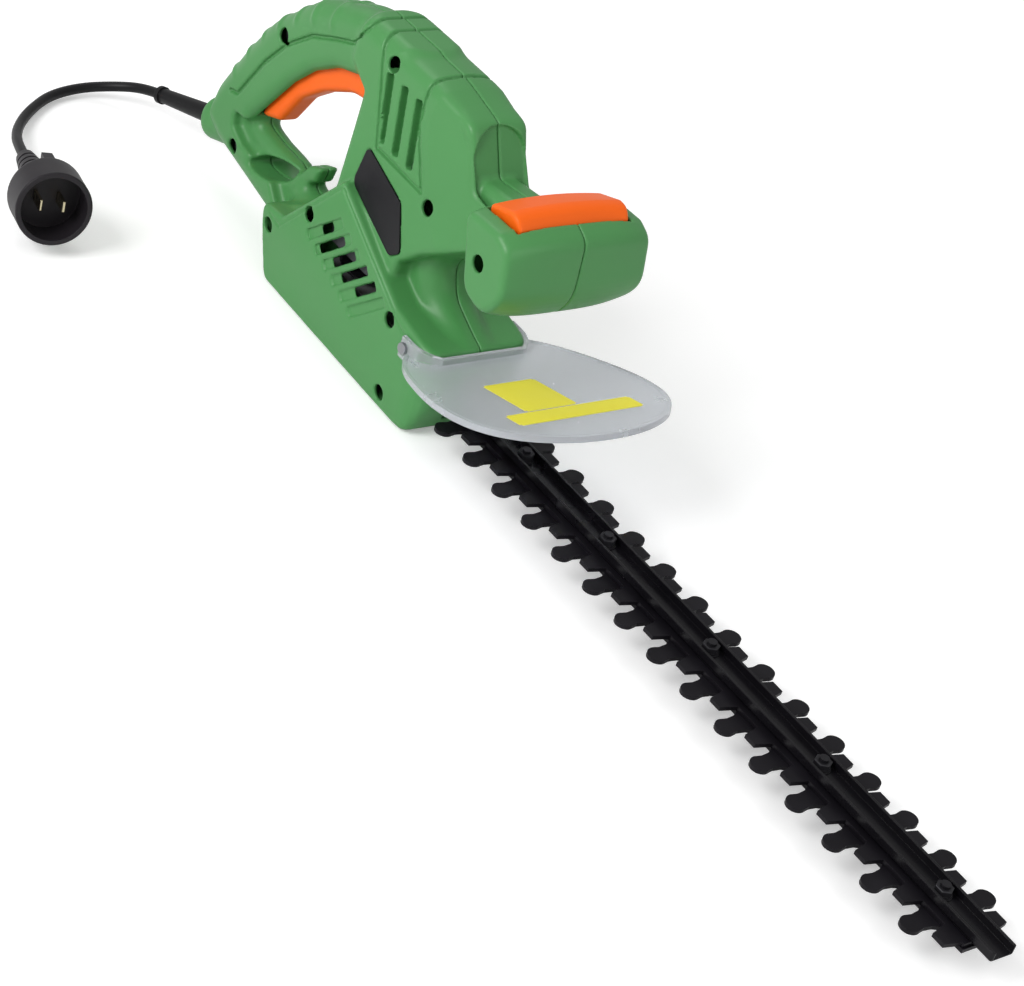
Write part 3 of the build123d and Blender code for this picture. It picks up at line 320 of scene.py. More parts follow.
DRESS: dict[Finish, list[str]] = {
    GREEN: ["housing_right", "housing_left"],
    ORANGE: ["rear_trigger", "front_switch_bar"],
    BLACK: ["rear_switch", "front_switch", "rear_plunger", "front_plunger", "terminal_block", "brush_holders",
            "motor_bracket", "fan", "carbon_brushes", "capacitor"],
    BADGE: ["nameplate_right", "nameplate_left"],
    CLEAR: ["guard"],
    BLADE: ["blade_lower", "blade_upper"],
    BAR: ["guide_bar"],
    DARK_SCREW: ["bar_bolts", "bar_nuts", "spring_washers", "flat_washers", "housing_screws"],
    ZINC: ["guard_screws", "gearbox_screws", "bar_mount_screws", "blade_spacers", "trigger_pin",
           "front_bar_springs", "trigger_spring"],
    STEEL: ["gear_bearings", "motor_bearings", "drive_gear", "idler_gear", "motor_pinion", "gear_shaft",
            "idler_shaft", "motor_shaft", "eccentric_upper", "eccentric_lower"],
    CASE: ["gearbox_case", "gearbox_cover"],
    IRON: ["motor_stator", "armature_core"],
    COPPER: ["field_coils", "armature_winding", "commutator"],
    BRASS: ["plug_blades"],
    RUBBER: ["cord", "strain_relief", "internal_leads"],
    PLUG: ["plug_body"],
}


@dataclass
class Paintwork:
    """Makes each finish's material once and lays it on objects."""

    effects: SharedEffects
    made: dict[str, bpy.types.Material] = field(default_factory=dict)

    def lay(self, piece: bpy.types.Object, finish: Finish) -> None:
        """Give a piece its finish.

        Args:
            piece: The object to dress.
            finish: The finish to lay on it.
        """
        if finish.name not in self.made:
            self.made[finish.name] = finish.material(self.effects)
        piece.data.materials.clear()
        piece.data.materials.append(self.made[finish.name])

    def dress_nodes(self) -> None:
        """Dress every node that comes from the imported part."""
        for finish, names in DRESS.items():
            for name in names:
                self.lay(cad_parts[name], finish)
                LOG.info("dressed %s with %s", name, finish.name)


def mesh_object(name: str, shape: bmesh.types.BMesh, body: str = "root") -> bpy.types.Object:
    """Turn a bmesh into a smooth-shaded piece that rides a body.

    Args:
        name: The piece's name.
        shape: The mesh, which is freed here.
        body: The body that carries the piece.

    Returns:
        The new object.
    """
    mesh = bpy.data.meshes.new(name)
    bmesh.ops.recalc_face_normals(shape, faces=shape.faces)
    shape.to_mesh(mesh)
    shape.free()
    mesh.shade_smooth()
    piece = bpy.data.objects.new(name, mesh)
    bpy.context.collection.objects.link(piece)
    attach(piece, body)
    return piece


# Outlines in millimetres: corners, each with its radius. They are seen from the side, except SECTION, which
# is seen along the blades, and POD_PLAN, which is seen from above.
GRIP: Outline = [(-231, 41, 10), (-212, 32, 12), (-178, 26, 30), (-150, 21, 30), (-100, 21, 5), (-62, 60, 5),
                 (-62, 175.9, 3), (-92, 175.2, 30), (-120, 168.5, 60), (-153, 156, 50), (-189, 124, 60),
                 (-207, 97, 50), (-225, 64, 40)]
HAND_HOLE: Outline = [(-187, 60, 8), (-168, 57.3, 14), (-144, 56.5, 8), (-124, 49, 6), (-108, 48, 5),
                      (-80, 80, 3), (-82, 134, 4), (-100, 137, 10), (-121, 130.5, 25), (-141, 117.5, 25),
                      (-157, 101, 25), (-173, 79, 25)]
ARM_POCKET: Outline = [(-199, 60, 4), (-197, 51, 5), (-185, 45.5, 12), (-152.7, 43.2, 9), (-143.3, 34.4, 5),
                       (-134.5, 27.2, 3), (-118, 27, 3), (-118, 60, 3)]
BODY: Outline = [(-80, 60, 2), (-82, 140, 3), (-100, 150, 3), (-100, 176.4, 3), (-34, 175.5, 30),
                 (2.5, 167, 11), (19, 138, 5), (40, 137, 4), (40, 114, 4), (29, 109, 6), (0, 89, 12),
                 (-14, 76, 6), (-14, 40, 3), (-60, 40, 3)]
SECTION: Outline = [(-30.5, 40, 0.5), (30.5, 40, 0.5), (20.9, 172, 11), (0, 176.7, 50), (-20.9, 172, 11)]
POD: Outline = [(-133, 43, 6), (-111, 45.5, 4), (-67.5, 94.5, 3), (2, 59, 14), (38, 53, 3), (42.5, 22, 9),
                (35, 1, 14), (22, 0, 12), (-119, 0, 6)]
POD_PLAN: Outline = [(-136, -33, 12), (43, -34, 18), (43, 34, 18), (-136, 33, 12)]
NECK: Outline = [(-30, 112, 3), (34, 112, 5), (0, 84, 17), (9, 66, 18), (38, 52.5, 3), (38, 42, 2),
                 (-30, 42, 2)]
WEB: Outline = [(-10, 139, 3), (47, 146, 3), (58, 122, 3), (54, 108, 4), (26, 102, 10), (-10, 96, 3)]
HORN: Outline = [(-147, 44, 2), (-139.5, 52, 8), (-132, 63, 9), (-120.5, 67.5, 1.8), (-123, 57, 4),
                 (-129, 53.5, 5), (-127, 42, 2)]
HANDLE_MIDDLE: Outline = [(44, 152, 6), (60, 105, 16), (79, 100.5, 20), (91, 118, 30), (87.5, 150, 14),
                          (78, 154.5, 5)]
HANDLE_CAP: Outline = [(46, 149.5, 6), (60, 110.5, 12), (79, 106.5, 14), (89.5, 121, 16), (84, 146, 12),
                       (74, 150.5, 5)]
TRIGGER: Outline = [(-168, 70.5, 5), (-154.5, 92.5, 20), (-136, 107.5, 25), (-112, 120.5, 30), (-92, 124, 12),
                    (-78, 125, 3), (-75, 140, 4), (-84, 146.5, 4), (-104, 146.5, 12), (-128, 138, 25),
                    (-156, 116, 25), (-177, 90, 12), (-186, 64, 3)]
SWITCH_CAP: Outline = [(50.8, 147.3, 0.8), (75.6, 147.3, 0.8), (76.4, 152.5, 3), (68.5, 162.4, 9),
                       (48.6, 156.6, 2)]
SWITCH_BAR: Outline = [(50.5, 143, 0.6), (75.8, 143, 0.6), (76.3, 152.5, 1.5), (68, 161.8, 3),
                       (48.6, 156.2, 2)]
DOME: Outline = [(-23.5, 182, 1), (-25, 163, 10), (-25.5, 152, 12), (-5, 116, 8), (14, 96, 3), (70, 96, 3),
                 (70, 182, 1)]
BADGE: Outline = [(-64, 117, 3), (-67, 94, 6), (-21, 76.5, 4), (-13.5, 82, 3), (-26, 105.5, 3)]

# Lines of the grooves, seen from the side.
HOOD_GROOVE: Line = [(-82, 178), (-75.5, 164.7), (-58.4, 119.7), (-14.3, 118.8), (-32.6, 148.0),
                     (-34.1, 164.7), (-35, 178)]
GRIP_GROOVE: Line = [(-207, 69), (-200, 70.6), (-182.3, 100.5), (-166.3, 120.4), (-146.1, 137),
                     (-123.9, 147.2), (-109.9, 152.6), (-97.5, 164.2), (-93.9, 170.4), (-93.9, 180)]
FLANK_GROOVE: Line = [(-121, 40.5), (-111, 39.0), (-66, 91.0), (0, 56.5), (16, 50)]

SCREWS: list[Pair] = [(-171.0, 123.5), (-66.0, 164.5), (-193.0, 40.0), (-122.0, 33.0), (-88.0, 61.0),
                      (-6.0, 114.5), (0.0, 50.5), (7.0, 8.5), (66.0, 129.0)]
# How far each side vent's through slot is shifted along its recess, and its length; length 0 leaves it blind.
SIDE_VENTS: list[Pair] = [(1.3, 11.0), (-2.5, 25.0), (1.4, 22.0), (3.6, 26.0), (6.5, 21.0), (0, 0)]
# Half width, bottom and top of each mouth that the bar and the blades leave the pod through.
MOUTHS: list[Point] = [(12.5, 10.0, 21.0), (8.0, 17.0, 27.0)]
TRIGGER_PIN = (-84.0, 135.0)
TRIGGER_ROOM_DEG = 5.2  # how far the lever has room to turn, a little past its travel
HOOD_SLOTS = 3
CORD_TIP = (-286.0, -7.0, 20.0)
CORD_WAY = (-15.3, -2.2, -4.1)


def pressed(outline: Outline, degrees: float) -> Outline:
    """Turn an outline about the trigger's pin, the way the trigger is pressed.

    Args:
        outline: Corners, each with its radius.
        degrees: How far the trigger is pressed.

    Returns:
        The turned outline.
    """
    pin_x, pin_z = TRIGGER_PIN
    turn = math.radians(degrees)
    return [(pin_x + (x - pin_x) * math.cos(turn) + (z - pin_z) * math.sin(turn),
             pin_z - (x - pin_x) * math.sin(turn) + (z - pin_z) * math.cos(turn), r) for x, z, r in outline]


def rounded(outline: Outline) -> np.ndarray:
    """Walk round an outline with an arc at each corner.

    Args:
        outline: Corners, each with its radius.

    Returns:
        The walked points, one row each.
    """
    most, steps = 0.48, 7  # how much of a side an arc may take, and its number of points
    points = []
    count = len(outline)
    for k, (x, z, radius) in enumerate(outline):
        here = np.array([x, z])
        back = np.array(outline[k - 1][:2]) - here
        ahead = np.array(outline[(k + 1) % count][:2]) - here
        back_length, ahead_length = np.linalg.norm(back), np.linalg.norm(ahead)
        back, ahead = back / back_length, ahead / ahead_length
        half = math.acos(max(-1.0, min(1.0, float(back @ ahead)))) / 2
        reach = min(radius / math.tan(half), most * back_length, most * ahead_length)
        start, end = here + back * reach, here + ahead * reach
        for t in np.linspace(0, 1, steps):
            points.append((1 - t) ** 2 * start + 2 * t * (1 - t) * here + t * t * end)
    return np.array(points)


def polygon_distance(points: np.ndarray, x: np.ndarray, z: np.ndarray) -> np.ndarray:
    """Signed distance from a closed polygon, negative inside.

    Args:
        points: The polygon's corners.
        x: First coordinate of each place.
        z: Second coordinate of each place.

    Returns:
        The distance at each place.
    """
    nearest = np.full(x.shape, 1e9)
    inside = np.zeros(x.shape, bool)
    for (x0, z0), (x1, z1) in zip(points, np.roll(points, -1, axis=0)):
        dx, dz = x1 - x0, z1 - z0
        t = np.clip(((x - x0) * dx + (z - z0) * dz) / max(dx * dx + dz * dz, 1e-9), 0, 1)
        nearest = np.minimum(nearest, (x - x0 - t * dx) ** 2 + (z - z0 - t * dz) ** 2)
        if z0 != z1:
            inside ^= ((z0 > z) != (z1 > z)) & (x < dx * (z - z0) / dz + x0)
    return np.where(inside, -1.0, 1.0) * np.sqrt(nearest)


def line_distance(line: Line, x: np.ndarray, z: np.ndarray) -> np.ndarray:
    """Distance from an open line of straight runs.

    Args:
        line: The line's points.
        x: First coordinate of each place.
        z: Second coordinate of each place.

    Returns:
        The distance at each place.
    """
    nearest = np.full(x.shape, 1e9)
    for (x0, z0), (x1, z1) in zip(line, line[1:]):
        dx, dz = x1 - x0, z1 - z0
        t = np.clip(((x - x0) * dx + (z - z0) * dz) / (dx * dx + dz * dz), 0, 1)
        nearest = np.minimum(nearest, (x - x0 - t * dx) ** 2 + (z - z0 - t * dz) ** 2)
    return np.sqrt(nearest)


def join(a: np.ndarray, b: np.ndarray, soft: float) -> np.ndarray:
    """Union of two solids with a soft valley between them.

    Args:
        a: Distance from the first solid.
        b: Distance from the second solid.
        soft: How far from the valley the surfaces start to bend.

    Returns:
        The union's distance.
    """
    h = np.maximum(soft - np.abs(a - b), 0) / soft
    return np.minimum(a, b) - h * h * soft / 4


def trim(a: np.ndarray, b: np.ndarray, soft: float) -> np.ndarray:
    """What two solids share, with a soft edge where they meet.

    Args:
        a: Distance from the first solid.
        b: Distance from the second solid.
        soft: How far from the edge the surfaces start to bend.

    Returns:
        The shared solid's distance.
    """
    return -join(-a, -b, soft)


@dataclass
class DistanceField:
    """A solid shaped as a field of distance in millimetres, negative inside, and turned into a mesh."""

    voxel: float
    low: Point
    high: Point

    def grid(self) -> None:
        """Lay out the sample places."""
        axes = [np.arange(a, b, self.voxel) for a, b in zip(self.low, self.high)]
        self.x = axes[0][:, None, None]
        self.y = axes[1][None, :, None]
        self.z = axes[2][None, None, :]
        self.gap = np.abs(self.y)
        self.side_x, self.side_z = np.meshgrid(axes[0], axes[2], indexing="ij")
        self.plan_x, self.plan_y = np.meshgrid(axes[0], axes[1], indexing="ij")
        self.end_y, self.end_z = np.meshgrid(axes[1], axes[2], indexing="ij")

    def side(self, outline: Outline) -> np.ndarray:
        """Distance from an outline seen from the side.

        Args:
            outline: Corners, each with its radius.

        Returns:
            The distance.
        """
        return polygon_distance(rounded(outline), self.side_x, self.side_z)[:, None, :]

    def slab(self, flat: np.ndarray, half: float, radius: float) -> np.ndarray:
        """A slab of an outline with rounded outer edges.

        Args:
            flat: Distance from the outline.
            half: Half of the slab's thickness.
            radius: Radius of its edges.

        Returns:
            The slab's distance.
        """
        a, b = flat + radius, self.gap - half + radius
        return np.minimum(np.maximum(a, b), 0) + np.hypot(np.maximum(a, 0), np.maximum(b, 0)) - radius

    def hole(self, x: float, z: float, radius: float) -> np.ndarray:
        """Distance from a round hole seen from the side.

        Args:
            x: Middle of the hole.
            z: Middle of the hole.
            radius: Radius of the hole.

        Returns:
            The distance.
        """
        return np.hypot(self.side_x - x, self.side_z - z)[:, None, :] - radius

    def turned(self, x: float, z: float, angle: float) -> tuple[np.ndarray, np.ndarray]:
        """Places seen from the side, measured along and across a leaning length.

        Args:
            x: Middle of the length.
            z: Middle of the length.
            angle: Lean of the length in degrees.

        Returns:
            How far each place is along the length and across it.
        """
        turn = math.radians(angle)
        dx, dz = self.side_x - x, self.side_z - z
        return dx * math.cos(turn) + dz * math.sin(turn), dz * math.cos(turn) - dx * math.sin(turn)

    def slot(self, x: float, z: float, angle: float, length: float, width: float) -> np.ndarray:
        """Distance from a slot with small corner radii, seen from the side.

        Args:
            x: Middle of the slot.
            z: Middle of the slot.
            angle: Lean of its length in degrees.
            length: Overall length.
            width: Overall width.

        Returns:
            The distance.
        """
        corner = 1.5
        u, v = self.turned(x, z, angle)
        a, b = np.abs(u) - length / 2 + corner, np.abs(v) - width / 2 + corner
        flat = np.hypot(np.maximum(a, 0), np.maximum(b, 0)) + np.minimum(np.maximum(a, b), 0) - corner
        return flat[:, None, :]

    def mesh(self, name: str, shape: np.ndarray, flip: bool, body: str = "root") -> bpy.types.Object:
        """Turn a field into a piece.

        Args:
            name: The piece's name.
            shape: The field.
            flip: Whether to mirror it to the other side.
            body: The body that carries it.

        Returns:
            The piece.
        """
        band = 3.0 * self.voxel
        volume = openvdb.FloatGrid(band)
        volume.copyFromArray(np.clip(shape, -band, band).astype(np.float32))
        points, quads = volume.convertToQuads(0.0)
        places = np.array(self.low) + points * self.voxel
        if flip:
            places[:, 1] *= -1
            quads = quads[:, ::-1]
        mesh = bpy.data.meshes.new(name)
        mesh.from_pydata((places / MM_IN_M).tolist(), [], quads.tolist())
        mesh.shade_smooth()
        mesh.validate()
        piece = bpy.data.objects.new(name, mesh)
        bpy.context.collection.objects.link(piece)
        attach(piece, body)
        return piece


@dataclass
class HousingSkin(DistanceField):
    """The two moulded shells; the one on the -Y side is shaped, and the other is its mirror image.

    wall is the moulding's thickness, top the height of the flat top, and seam how far each shell's edge stays
    back from the middle plane.
    """

    voxel: float = 0.8
    low: Point = (-238.0, -48.0, -2.0)
    high: Point = (94.0, 2.0, 180.0)
    wall: float = 2.4
    top: float = 175.7
    seam: float = 0.12

    def cord_axis(self) -> tuple[np.ndarray, np.ndarray]:
        """Measure every place from the cord's axis.

        Returns:
            How far each place is beyond the sleeve's tip along the axis, and how far it is off the axis.
        """
        tip, way = np.array(CORD_TIP), np.array(CORD_WAY)
        way = way / np.linalg.norm(way)
        dx, dy, dz = self.x - tip[0], self.y - tip[1], self.z - tip[2]
        along = dx * way[0] + dy * way[1] + dz * way[2]
        return along, np.sqrt(np.maximum(dx ** 2 + dy ** 2 + dz ** 2 - along ** 2, 0))

    def finger_dip(self) -> np.ndarray:
        """The oval dip behind the finger horn.

        Returns:
            Its distance.
        """
        long_half, short_half = 18.5, 5.8
        u, v = self.turned(-157.0, 46.0, 16.0)
        return ((np.hypot(u / long_half, v / short_half) - 1.0) * short_half)[:, None, :]

    def grip_ribs(self) -> np.ndarray:
        """Seven low ribs that fan out over the back of the handle.

        Returns:
            How far they raise the surface.
        """
        ribs, first_deg, pitch_deg, height, width = 7, 103.8, 9.65, 0.9, 2.2
        fan_x, fan_z, start, fade = -105.0, 45.0, 105.0, 5.0
        dx, dz = self.side_x - fan_x, self.side_z - fan_z
        reach, angle = np.hypot(dx, dz), np.degrees(np.arctan2(dz, dx))
        rise = np.zeros(reach.shape)
        for k in range(ribs):
            away = reach * np.radians(angle - (first_deg + pitch_deg * k))
            rise = np.maximum(rise, height * np.exp(-(away / width) ** 2))
        return (rise * np.clip((reach - start) / fade, 0, 1))[:, None, :]

    def grip(self) -> np.ndarray:
        """The loop handle with its lower arm, cord boss and finger horn.

        Returns:
            Its distance.
        """
        web_half, boss_radius, boss_middle, boss_half = 9.0, 13.0, -65.5, 14.5
        shape = self.slab(self.side(GRIP), half=16.0, radius=12.0)
        pocket = trim(self.side(ARM_POCKET), web_half - self.gap, 5.0)
        shape = trim(shape, -pocket, 3.0)
        shape = trim(shape, -self.side(HAND_HOLE), 9.0)
        shape = trim(shape, -self.finger_dip(), 2.0)
        boss = trim(self.off - boss_radius, np.abs(self.along - boss_middle) - boss_half, 5.0)
        shape = join(shape, boss, 3.0)
        shape = join(shape, self.slab(self.side(HORN), half=6.8, radius=3.0), 3.0)
        return shape - self.grip_ribs()

    def body(self) -> np.ndarray:
        """The tall motor hood with its arched front lip.

        Returns:
            Its distance.
        """
        dome_slope, lip_x, lip_z, lip_radius = 0.16, 0.3, 165.6, 16.0
        lean_x, lean_z = 0.871, 0.491
        section = polygon_distance(rounded(SECTION), self.end_y, self.end_z)[None, :, :]
        section = section + dome_slope * np.maximum(-self.side(DOME), 0)
        shape = trim(self.side(BODY), section, 5.0)
        ahead = (self.x - lip_x) * lean_x + (self.z - lip_z) * lean_z
        down = (self.x - lip_x) * lean_z - (self.z - lip_z) * lean_x
        arch = np.where(down < lip_radius, np.hypot(self.y, down - lip_radius), self.gap) - lip_radius
        return trim(shape, -np.maximum(arch, -ahead), 1.2)

    def pod(self) -> np.ndarray:
        """The low gear pod with its slanting flank.

        Returns:
            Its distance.
        """
        plan = polygon_distance(rounded(POD_PLAN), self.plan_x, self.plan_y)[:, :, None]
        rear, front, foot = np.array([-121, -33, 40.5]), np.array([5, -33, 10]), np.array([-60, -30.0, 0])
        out = np.cross(front - rear, foot - rear)
        out = out / np.linalg.norm(out)
        if out[1] > 0:
            out = -out
        flank = (self.x - rear[0]) * out[0] + (self.y - rear[1]) * out[1] + (self.z - rear[2]) * out[2]
        return trim(trim(self.side(POD), plan, 4.0), flank, 1.2)

    def cross_handle(self) -> np.ndarray:
        """The front handle, full in its middle and smaller at its ends.

        Returns:
            Its distance.
        """
        taper, fullness, half = 46.0, 3.4, 46.5
        part = np.clip(self.gap / taper, 0, 1) ** fullness
        shape = self.side(HANDLE_MIDDLE) * (1 - part) + self.side(HANDLE_CAP) * part
        return trim(shape, self.gap - half, 3.6)

    def outside(self) -> np.ndarray:
        """The outer surface of both shells together.

        Returns:
            Its distance.
        """
        grip, pod = self.grip(), self.pod()
        shape = join(join(grip, self.body(), 12.0), pod, 2.5)
        shape = np.minimum(shape, join(grip, pod, 9.0))
        shape = join(shape, self.slab(self.side(NECK), half=17.0, radius=13.5), 3.0)
        shape = join(shape, self.slab(self.side(WEB), half=13.5, radius=6.0), 3.0)
        return trim(join(shape, self.cross_handle(), 2.0), self.z - self.top, 1.0)

    def hood_slot(self, k: int, length: float, width: float) -> np.ndarray:
        """Distance from one of the three slots in the hood's side.

        Args:
            k: Which slot, counted from the rear.
            length: Overall length.
            width: Overall width.

        Returns:
            The distance.
        """
        first_x, pitch, z, lean_deg = -61.2, 13.6, 141.4, -75.0
        return self.slot(first_x + pitch * k, z, lean_deg, length, width)

    def groove(self, shape: np.ndarray, line: Line, width: float, depth: float,
               inner: float = 0.0) -> np.ndarray:
        """Cut a groove along a line seen from the side.

        Args:
            shape: The solid to cut.
            line: The line's points.
            width: Width of the groove.
            depth: Depth of the groove.
            inner: How far from the seam plane the groove starts.

        Returns:
            The cut solid.
        """
        flat = line_distance(line, self.side_x, self.side_z)[:, None, :]
        cut = np.maximum(flat - width / 2, -(self.skin + depth))
        return np.maximum(shape, -np.maximum(cut, inner - self.gap))

    def dress(self, shape: np.ndarray) -> np.ndarray:
        """Cut the grooves, the hood's blind slots, the side vents and the badge's seat.

        Args:
            shape: The solid to cut.

        Returns:
            The cut solid.
        """
        slot_length, slot_width, slot_depth = 37.0, 6.0, 5.5
        recess_length, recess_width, recess_depth, vent_width, vent_inner = 35.5, 5.9, 1.4, 4.8, 24.0
        first_x, first_z, pitch_x, pitch_z, lean_deg = -71.4, 61.9, 10.1, -3.5, 42.0
        seat_depth, seat_room = 0.9, 0.5
        for line in (HOOD_GROOVE, GRIP_GROOVE):
            shape = self.groove(shape, line, width=2.2, depth=1.6)
        for k in range(HOOD_SLOTS):
            slot = self.hood_slot(k, slot_length, slot_width)
            shape = trim(shape, -np.maximum(slot, -(self.skin + slot_depth)), 0.5)
        along_x, along_z = math.cos(math.radians(lean_deg)), math.sin(math.radians(lean_deg))
        for k, (shift, length) in enumerate(SIDE_VENTS):
            x, z = first_x + pitch_x * k, first_z + pitch_z * k
            recess = self.slot(x, z, lean_deg, recess_length, recess_width)
            shape = trim(shape, -np.maximum(recess, -(self.skin + recess_depth)), 0.4)
            if length:
                vent = self.slot(x + shift * along_x, z + shift * along_z, lean_deg, length, vent_width)
                shape = trim(shape, -np.maximum(vent, vent_inner - self.gap), 0.4)
        shape = self.groove(shape, FLANK_GROOVE, width=1.2, depth=0.7, inner=10.0)
        return np.maximum(shape, -np.maximum(self.side(BADGE) - seat_room, -(self.skin + seat_depth)))

    def openings(self, shape: np.ndarray, screwed: bool) -> np.ndarray:
        """Cut the room for the controls, the blades, the cord and the screws.

        Args:
            shape: The solid to cut.
            screwed: Whether the screws go in from this side.

        Returns:
            The cut solid.
        """
        lever_room, lever_half, bar_room, bar_half, bar_rise = 0.9, 10.0, 0.5, 36.6, 4
        mouth_start, sleeve_radius, sleeve_end, screw_radius, screw_floor = 20.0, 6.5, 5.0, 4.4, 9.0
        lever = self.side(TRIGGER)
        for share in (0.5, 1.0):
            lever = np.minimum(lever, self.side(pressed(TRIGGER, share * TRIGGER_ROOM_DEG)))
        shape = trim(shape, -np.maximum(lever - lever_room, self.gap - lever_half), 0.5)
        raised = self.side([(x, z + bar_rise, r) for x, z, r in SWITCH_BAR])
        bar = np.minimum(self.side(SWITCH_BAR), raised) - bar_room
        shape = np.maximum(shape, -np.maximum(bar, self.gap - bar_half))
        for half, low, high in MOUTHS:
            shape = np.maximum(shape, -np.maximum(np.maximum(self.gap - half, low - self.z),
                                                  np.maximum(self.z - high, mouth_start - self.x)))
        shape = np.maximum(shape, -np.maximum(self.off - sleeve_radius, self.along - sleeve_end))
        if screwed:
            for x, z in SCREWS:
                hole = np.maximum(self.hole(x, z, screw_radius), screw_floor - self.gap)
                shape = trim(shape, -hole, 0.8)
        return shape

    def build(self, paint: Paintwork) -> None:
        """Build and dress both shells.

        Args:
            paint: The finishes.
        """
        self.grid()
        self.along, self.off = self.cord_axis()
        self.skin = self.outside()
        pocket_length, pocket_width, pocket_depth, past_seam, empty = 41.0, 10.0, 8.0, 1.2, 1.0
        shell = trim(self.skin, self.y + self.seam, 0.9)
        cavity = np.maximum(self.skin, self.y + self.seam) + self.wall
        for k in range(HOOD_SLOTS):
            pocket = self.hood_slot(k, pocket_length, pocket_width)
            cavity = np.maximum(cavity, -np.maximum(pocket, -(self.skin + pocket_depth)))
        shell = np.maximum(shell, -cavity)
        shell = np.where(self.y > past_seam, empty, shell)
        shell = self.dress(shell)
        for name, screwed in (("shell_right", True), ("shell_left", False)):
            piece = self.mesh(name, self.openings(shell, screwed), not screwed)
            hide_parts("housing_right" if screwed else "housing_left")
            paint.lay(piece, GREEN)
            LOG.info("built %s with %d faces", name, len(piece.data.polygons))


@dataclass
class RearTrigger(DistanceField):
    """The long orange trigger lever with its rounded finger edge."""

    voxel: float = 0.6
    low: Point = (-190.0, -12.0, 60.0)
    high: Point = (-72.0, 12.0, 150.0)
    half: float = 8.0
    edge: float = 4.5
    bore: float = 2.56

    def build(self, paint: Paintwork) -> None:
        """Build and dress the lever.

        Args:
            paint: The finishes.
        """
        self.grid()
        shape = self.slab(self.side(TRIGGER), self.half, self.edge)
        shape = trim(shape, -self.hole(*TRIGGER_PIN, self.bore), 0.3)
        piece = self.mesh("trigger_lever", shape, False, "trigger")
        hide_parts("rear_trigger")
        paint.lay(piece, ORANGE)
        LOG.info("built trigger_lever")


@dataclass
class FrontSwitchBar(DistanceField):
    """The orange switch bar with its crowned top.

    peak is the x and z of its highest line, slope how steeply the top falls behind it, and flare how much each
    end draws in below flare_z.
    """

    voxel: float = 0.5
    low: Point = (44.0, -40.0, 144.0)
    high: Point = (82.0, 40.0, 166.0)
    half: float = 36.0
    crown: float = 0.0018
    peak: Pair = (66.0, 160.4)
    slope: float = 0.37
    flare: float = 0.12
    flare_z: float = 161.0

    def build(self, paint: Paintwork) -> None:
        """Build and dress the bar.

        Args:
            paint: The finishes.
        """
        self.grid()
        peak_x, peak_z = self.peak
        drop = self.slope * (self.x - peak_x)
        lid = (self.z - peak_z - np.minimum(drop, 0) * 0.9 + self.crown * self.y ** 2) * 0.95
        shape = trim(self.side(SWITCH_CAP), lid, 3.0)
        shape = trim(shape, self.gap - self.half - self.flare * (self.z - self.flare_z), 2.0)
        shape = trim(shape, self.gap - self.half, 0.8)
        piece = self.mesh("switch_bar_cap", shape, False, "switch_bar")
        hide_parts("front_switch_bar")
        paint.lay(piece, ORANGE)
        LOG.info("built switch_bar_cap")


@dataclass
class GuardLabels:
    """Two bare yellow labels on the sloping hand guard.

    Each area is in metres, from and to along the plate and then across it. lift keeps a label clear of it.
    """

    origin: Point = (0.0393, 0.0, 0.046)
    tilt_deg: float = 14.5
    plate: float = 0.0026
    thickness: float = 0.00012
    lift: float = 0.00001
    corner: float = 0.0012
    square: Area = (0.0365, 0.0735, -0.0255, 0.0075)
    strip: Area = (0.0745, 0.0880, -0.0400, 0.0400)

    def build(self, paint: Paintwork) -> None:
        """Lay both labels on the plate.

        Args:
            paint: The finishes.
        """
        for name, area in (("guard_label_square", self.square), ("guard_label_strip", self.strip)):
            shape = bmesh.new()
            a0, a1, b0, b1 = area
            bmesh.ops.create_cube(shape, size=1.0)
            for vert in shape.verts:
                vert.co.x = (a0 + a1) / 2 + vert.co.x * (a1 - a0)
                vert.co.y = (b0 + b1) / 2 + vert.co.y * (b1 - b0)
                vert.co.z = self.plate + self.thickness * (vert.co.z + 0.5) + self.lift
            upright = [e for e in shape.edges if abs(e.verts[0].co.z - e.verts[1].co.z) > self.thickness / 2]
            bmesh.ops.bevel(shape, geom=upright, offset=self.corner, segments=4, affect="EDGES")
            tilt = Matrix.Rotation(-math.radians(self.tilt_deg), 4, "Y")
            shape.transform(Matrix.Translation(self.origin) @ tilt)
            piece = mesh_object(name, shape)
            piece.data.shade_flat()
            paint.lay(piece, YELLOW)
            LOG.info("built %s", name)


@dataclass
class SupplyCord:
    """The short flexible lead from its sleeve to the plug."""

    radius: float = 0.0031
    length: float = 0.1867
    route: list[Point] = field(default_factory=lambda: [
        (-0.286, -0.007, 0.020), (-0.3013, -0.0092, 0.0159), (-0.316, -0.020, 0.0095),
        (-0.324, -0.038, 0.0052), (-0.320, -0.060, 0.0039), (-0.307, -0.079, 0.0039),
        (-0.290, -0.096, 0.0050), (-0.270, -0.1095, 0.0088), (-0.251, -0.1175, 0.0130),
        (-0.234, -0.1225, 0.0160)])

    def build(self, paint: Paintwork) -> None:
        """Lay the lead along its route.

        Args:
            paint: The finishes.
        """
        curve = bpy.data.curves.new("supply_cord", "CURVE")
        curve.dimensions = "3D"
        curve.bevel_depth = self.radius
        curve.bevel_resolution = 6
        curve.resolution_u = 12
        spline = curve.splines.new("NURBS")
        spline.points.add(len(self.route) - 1)
        for point, place in zip(spline.points, self.route):
            point.co = (*place, 1.0)
        spline.order_u = 3
        spline.use_endpoint_u = True
        piece = bpy.data.objects.new("supply_cord", curve)
        bpy.context.collection.objects.link(piece)
        paint.lay(piece, RUBBER)
        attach(piece, "root")
        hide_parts("cord")
        LOG.info("built supply_cord")


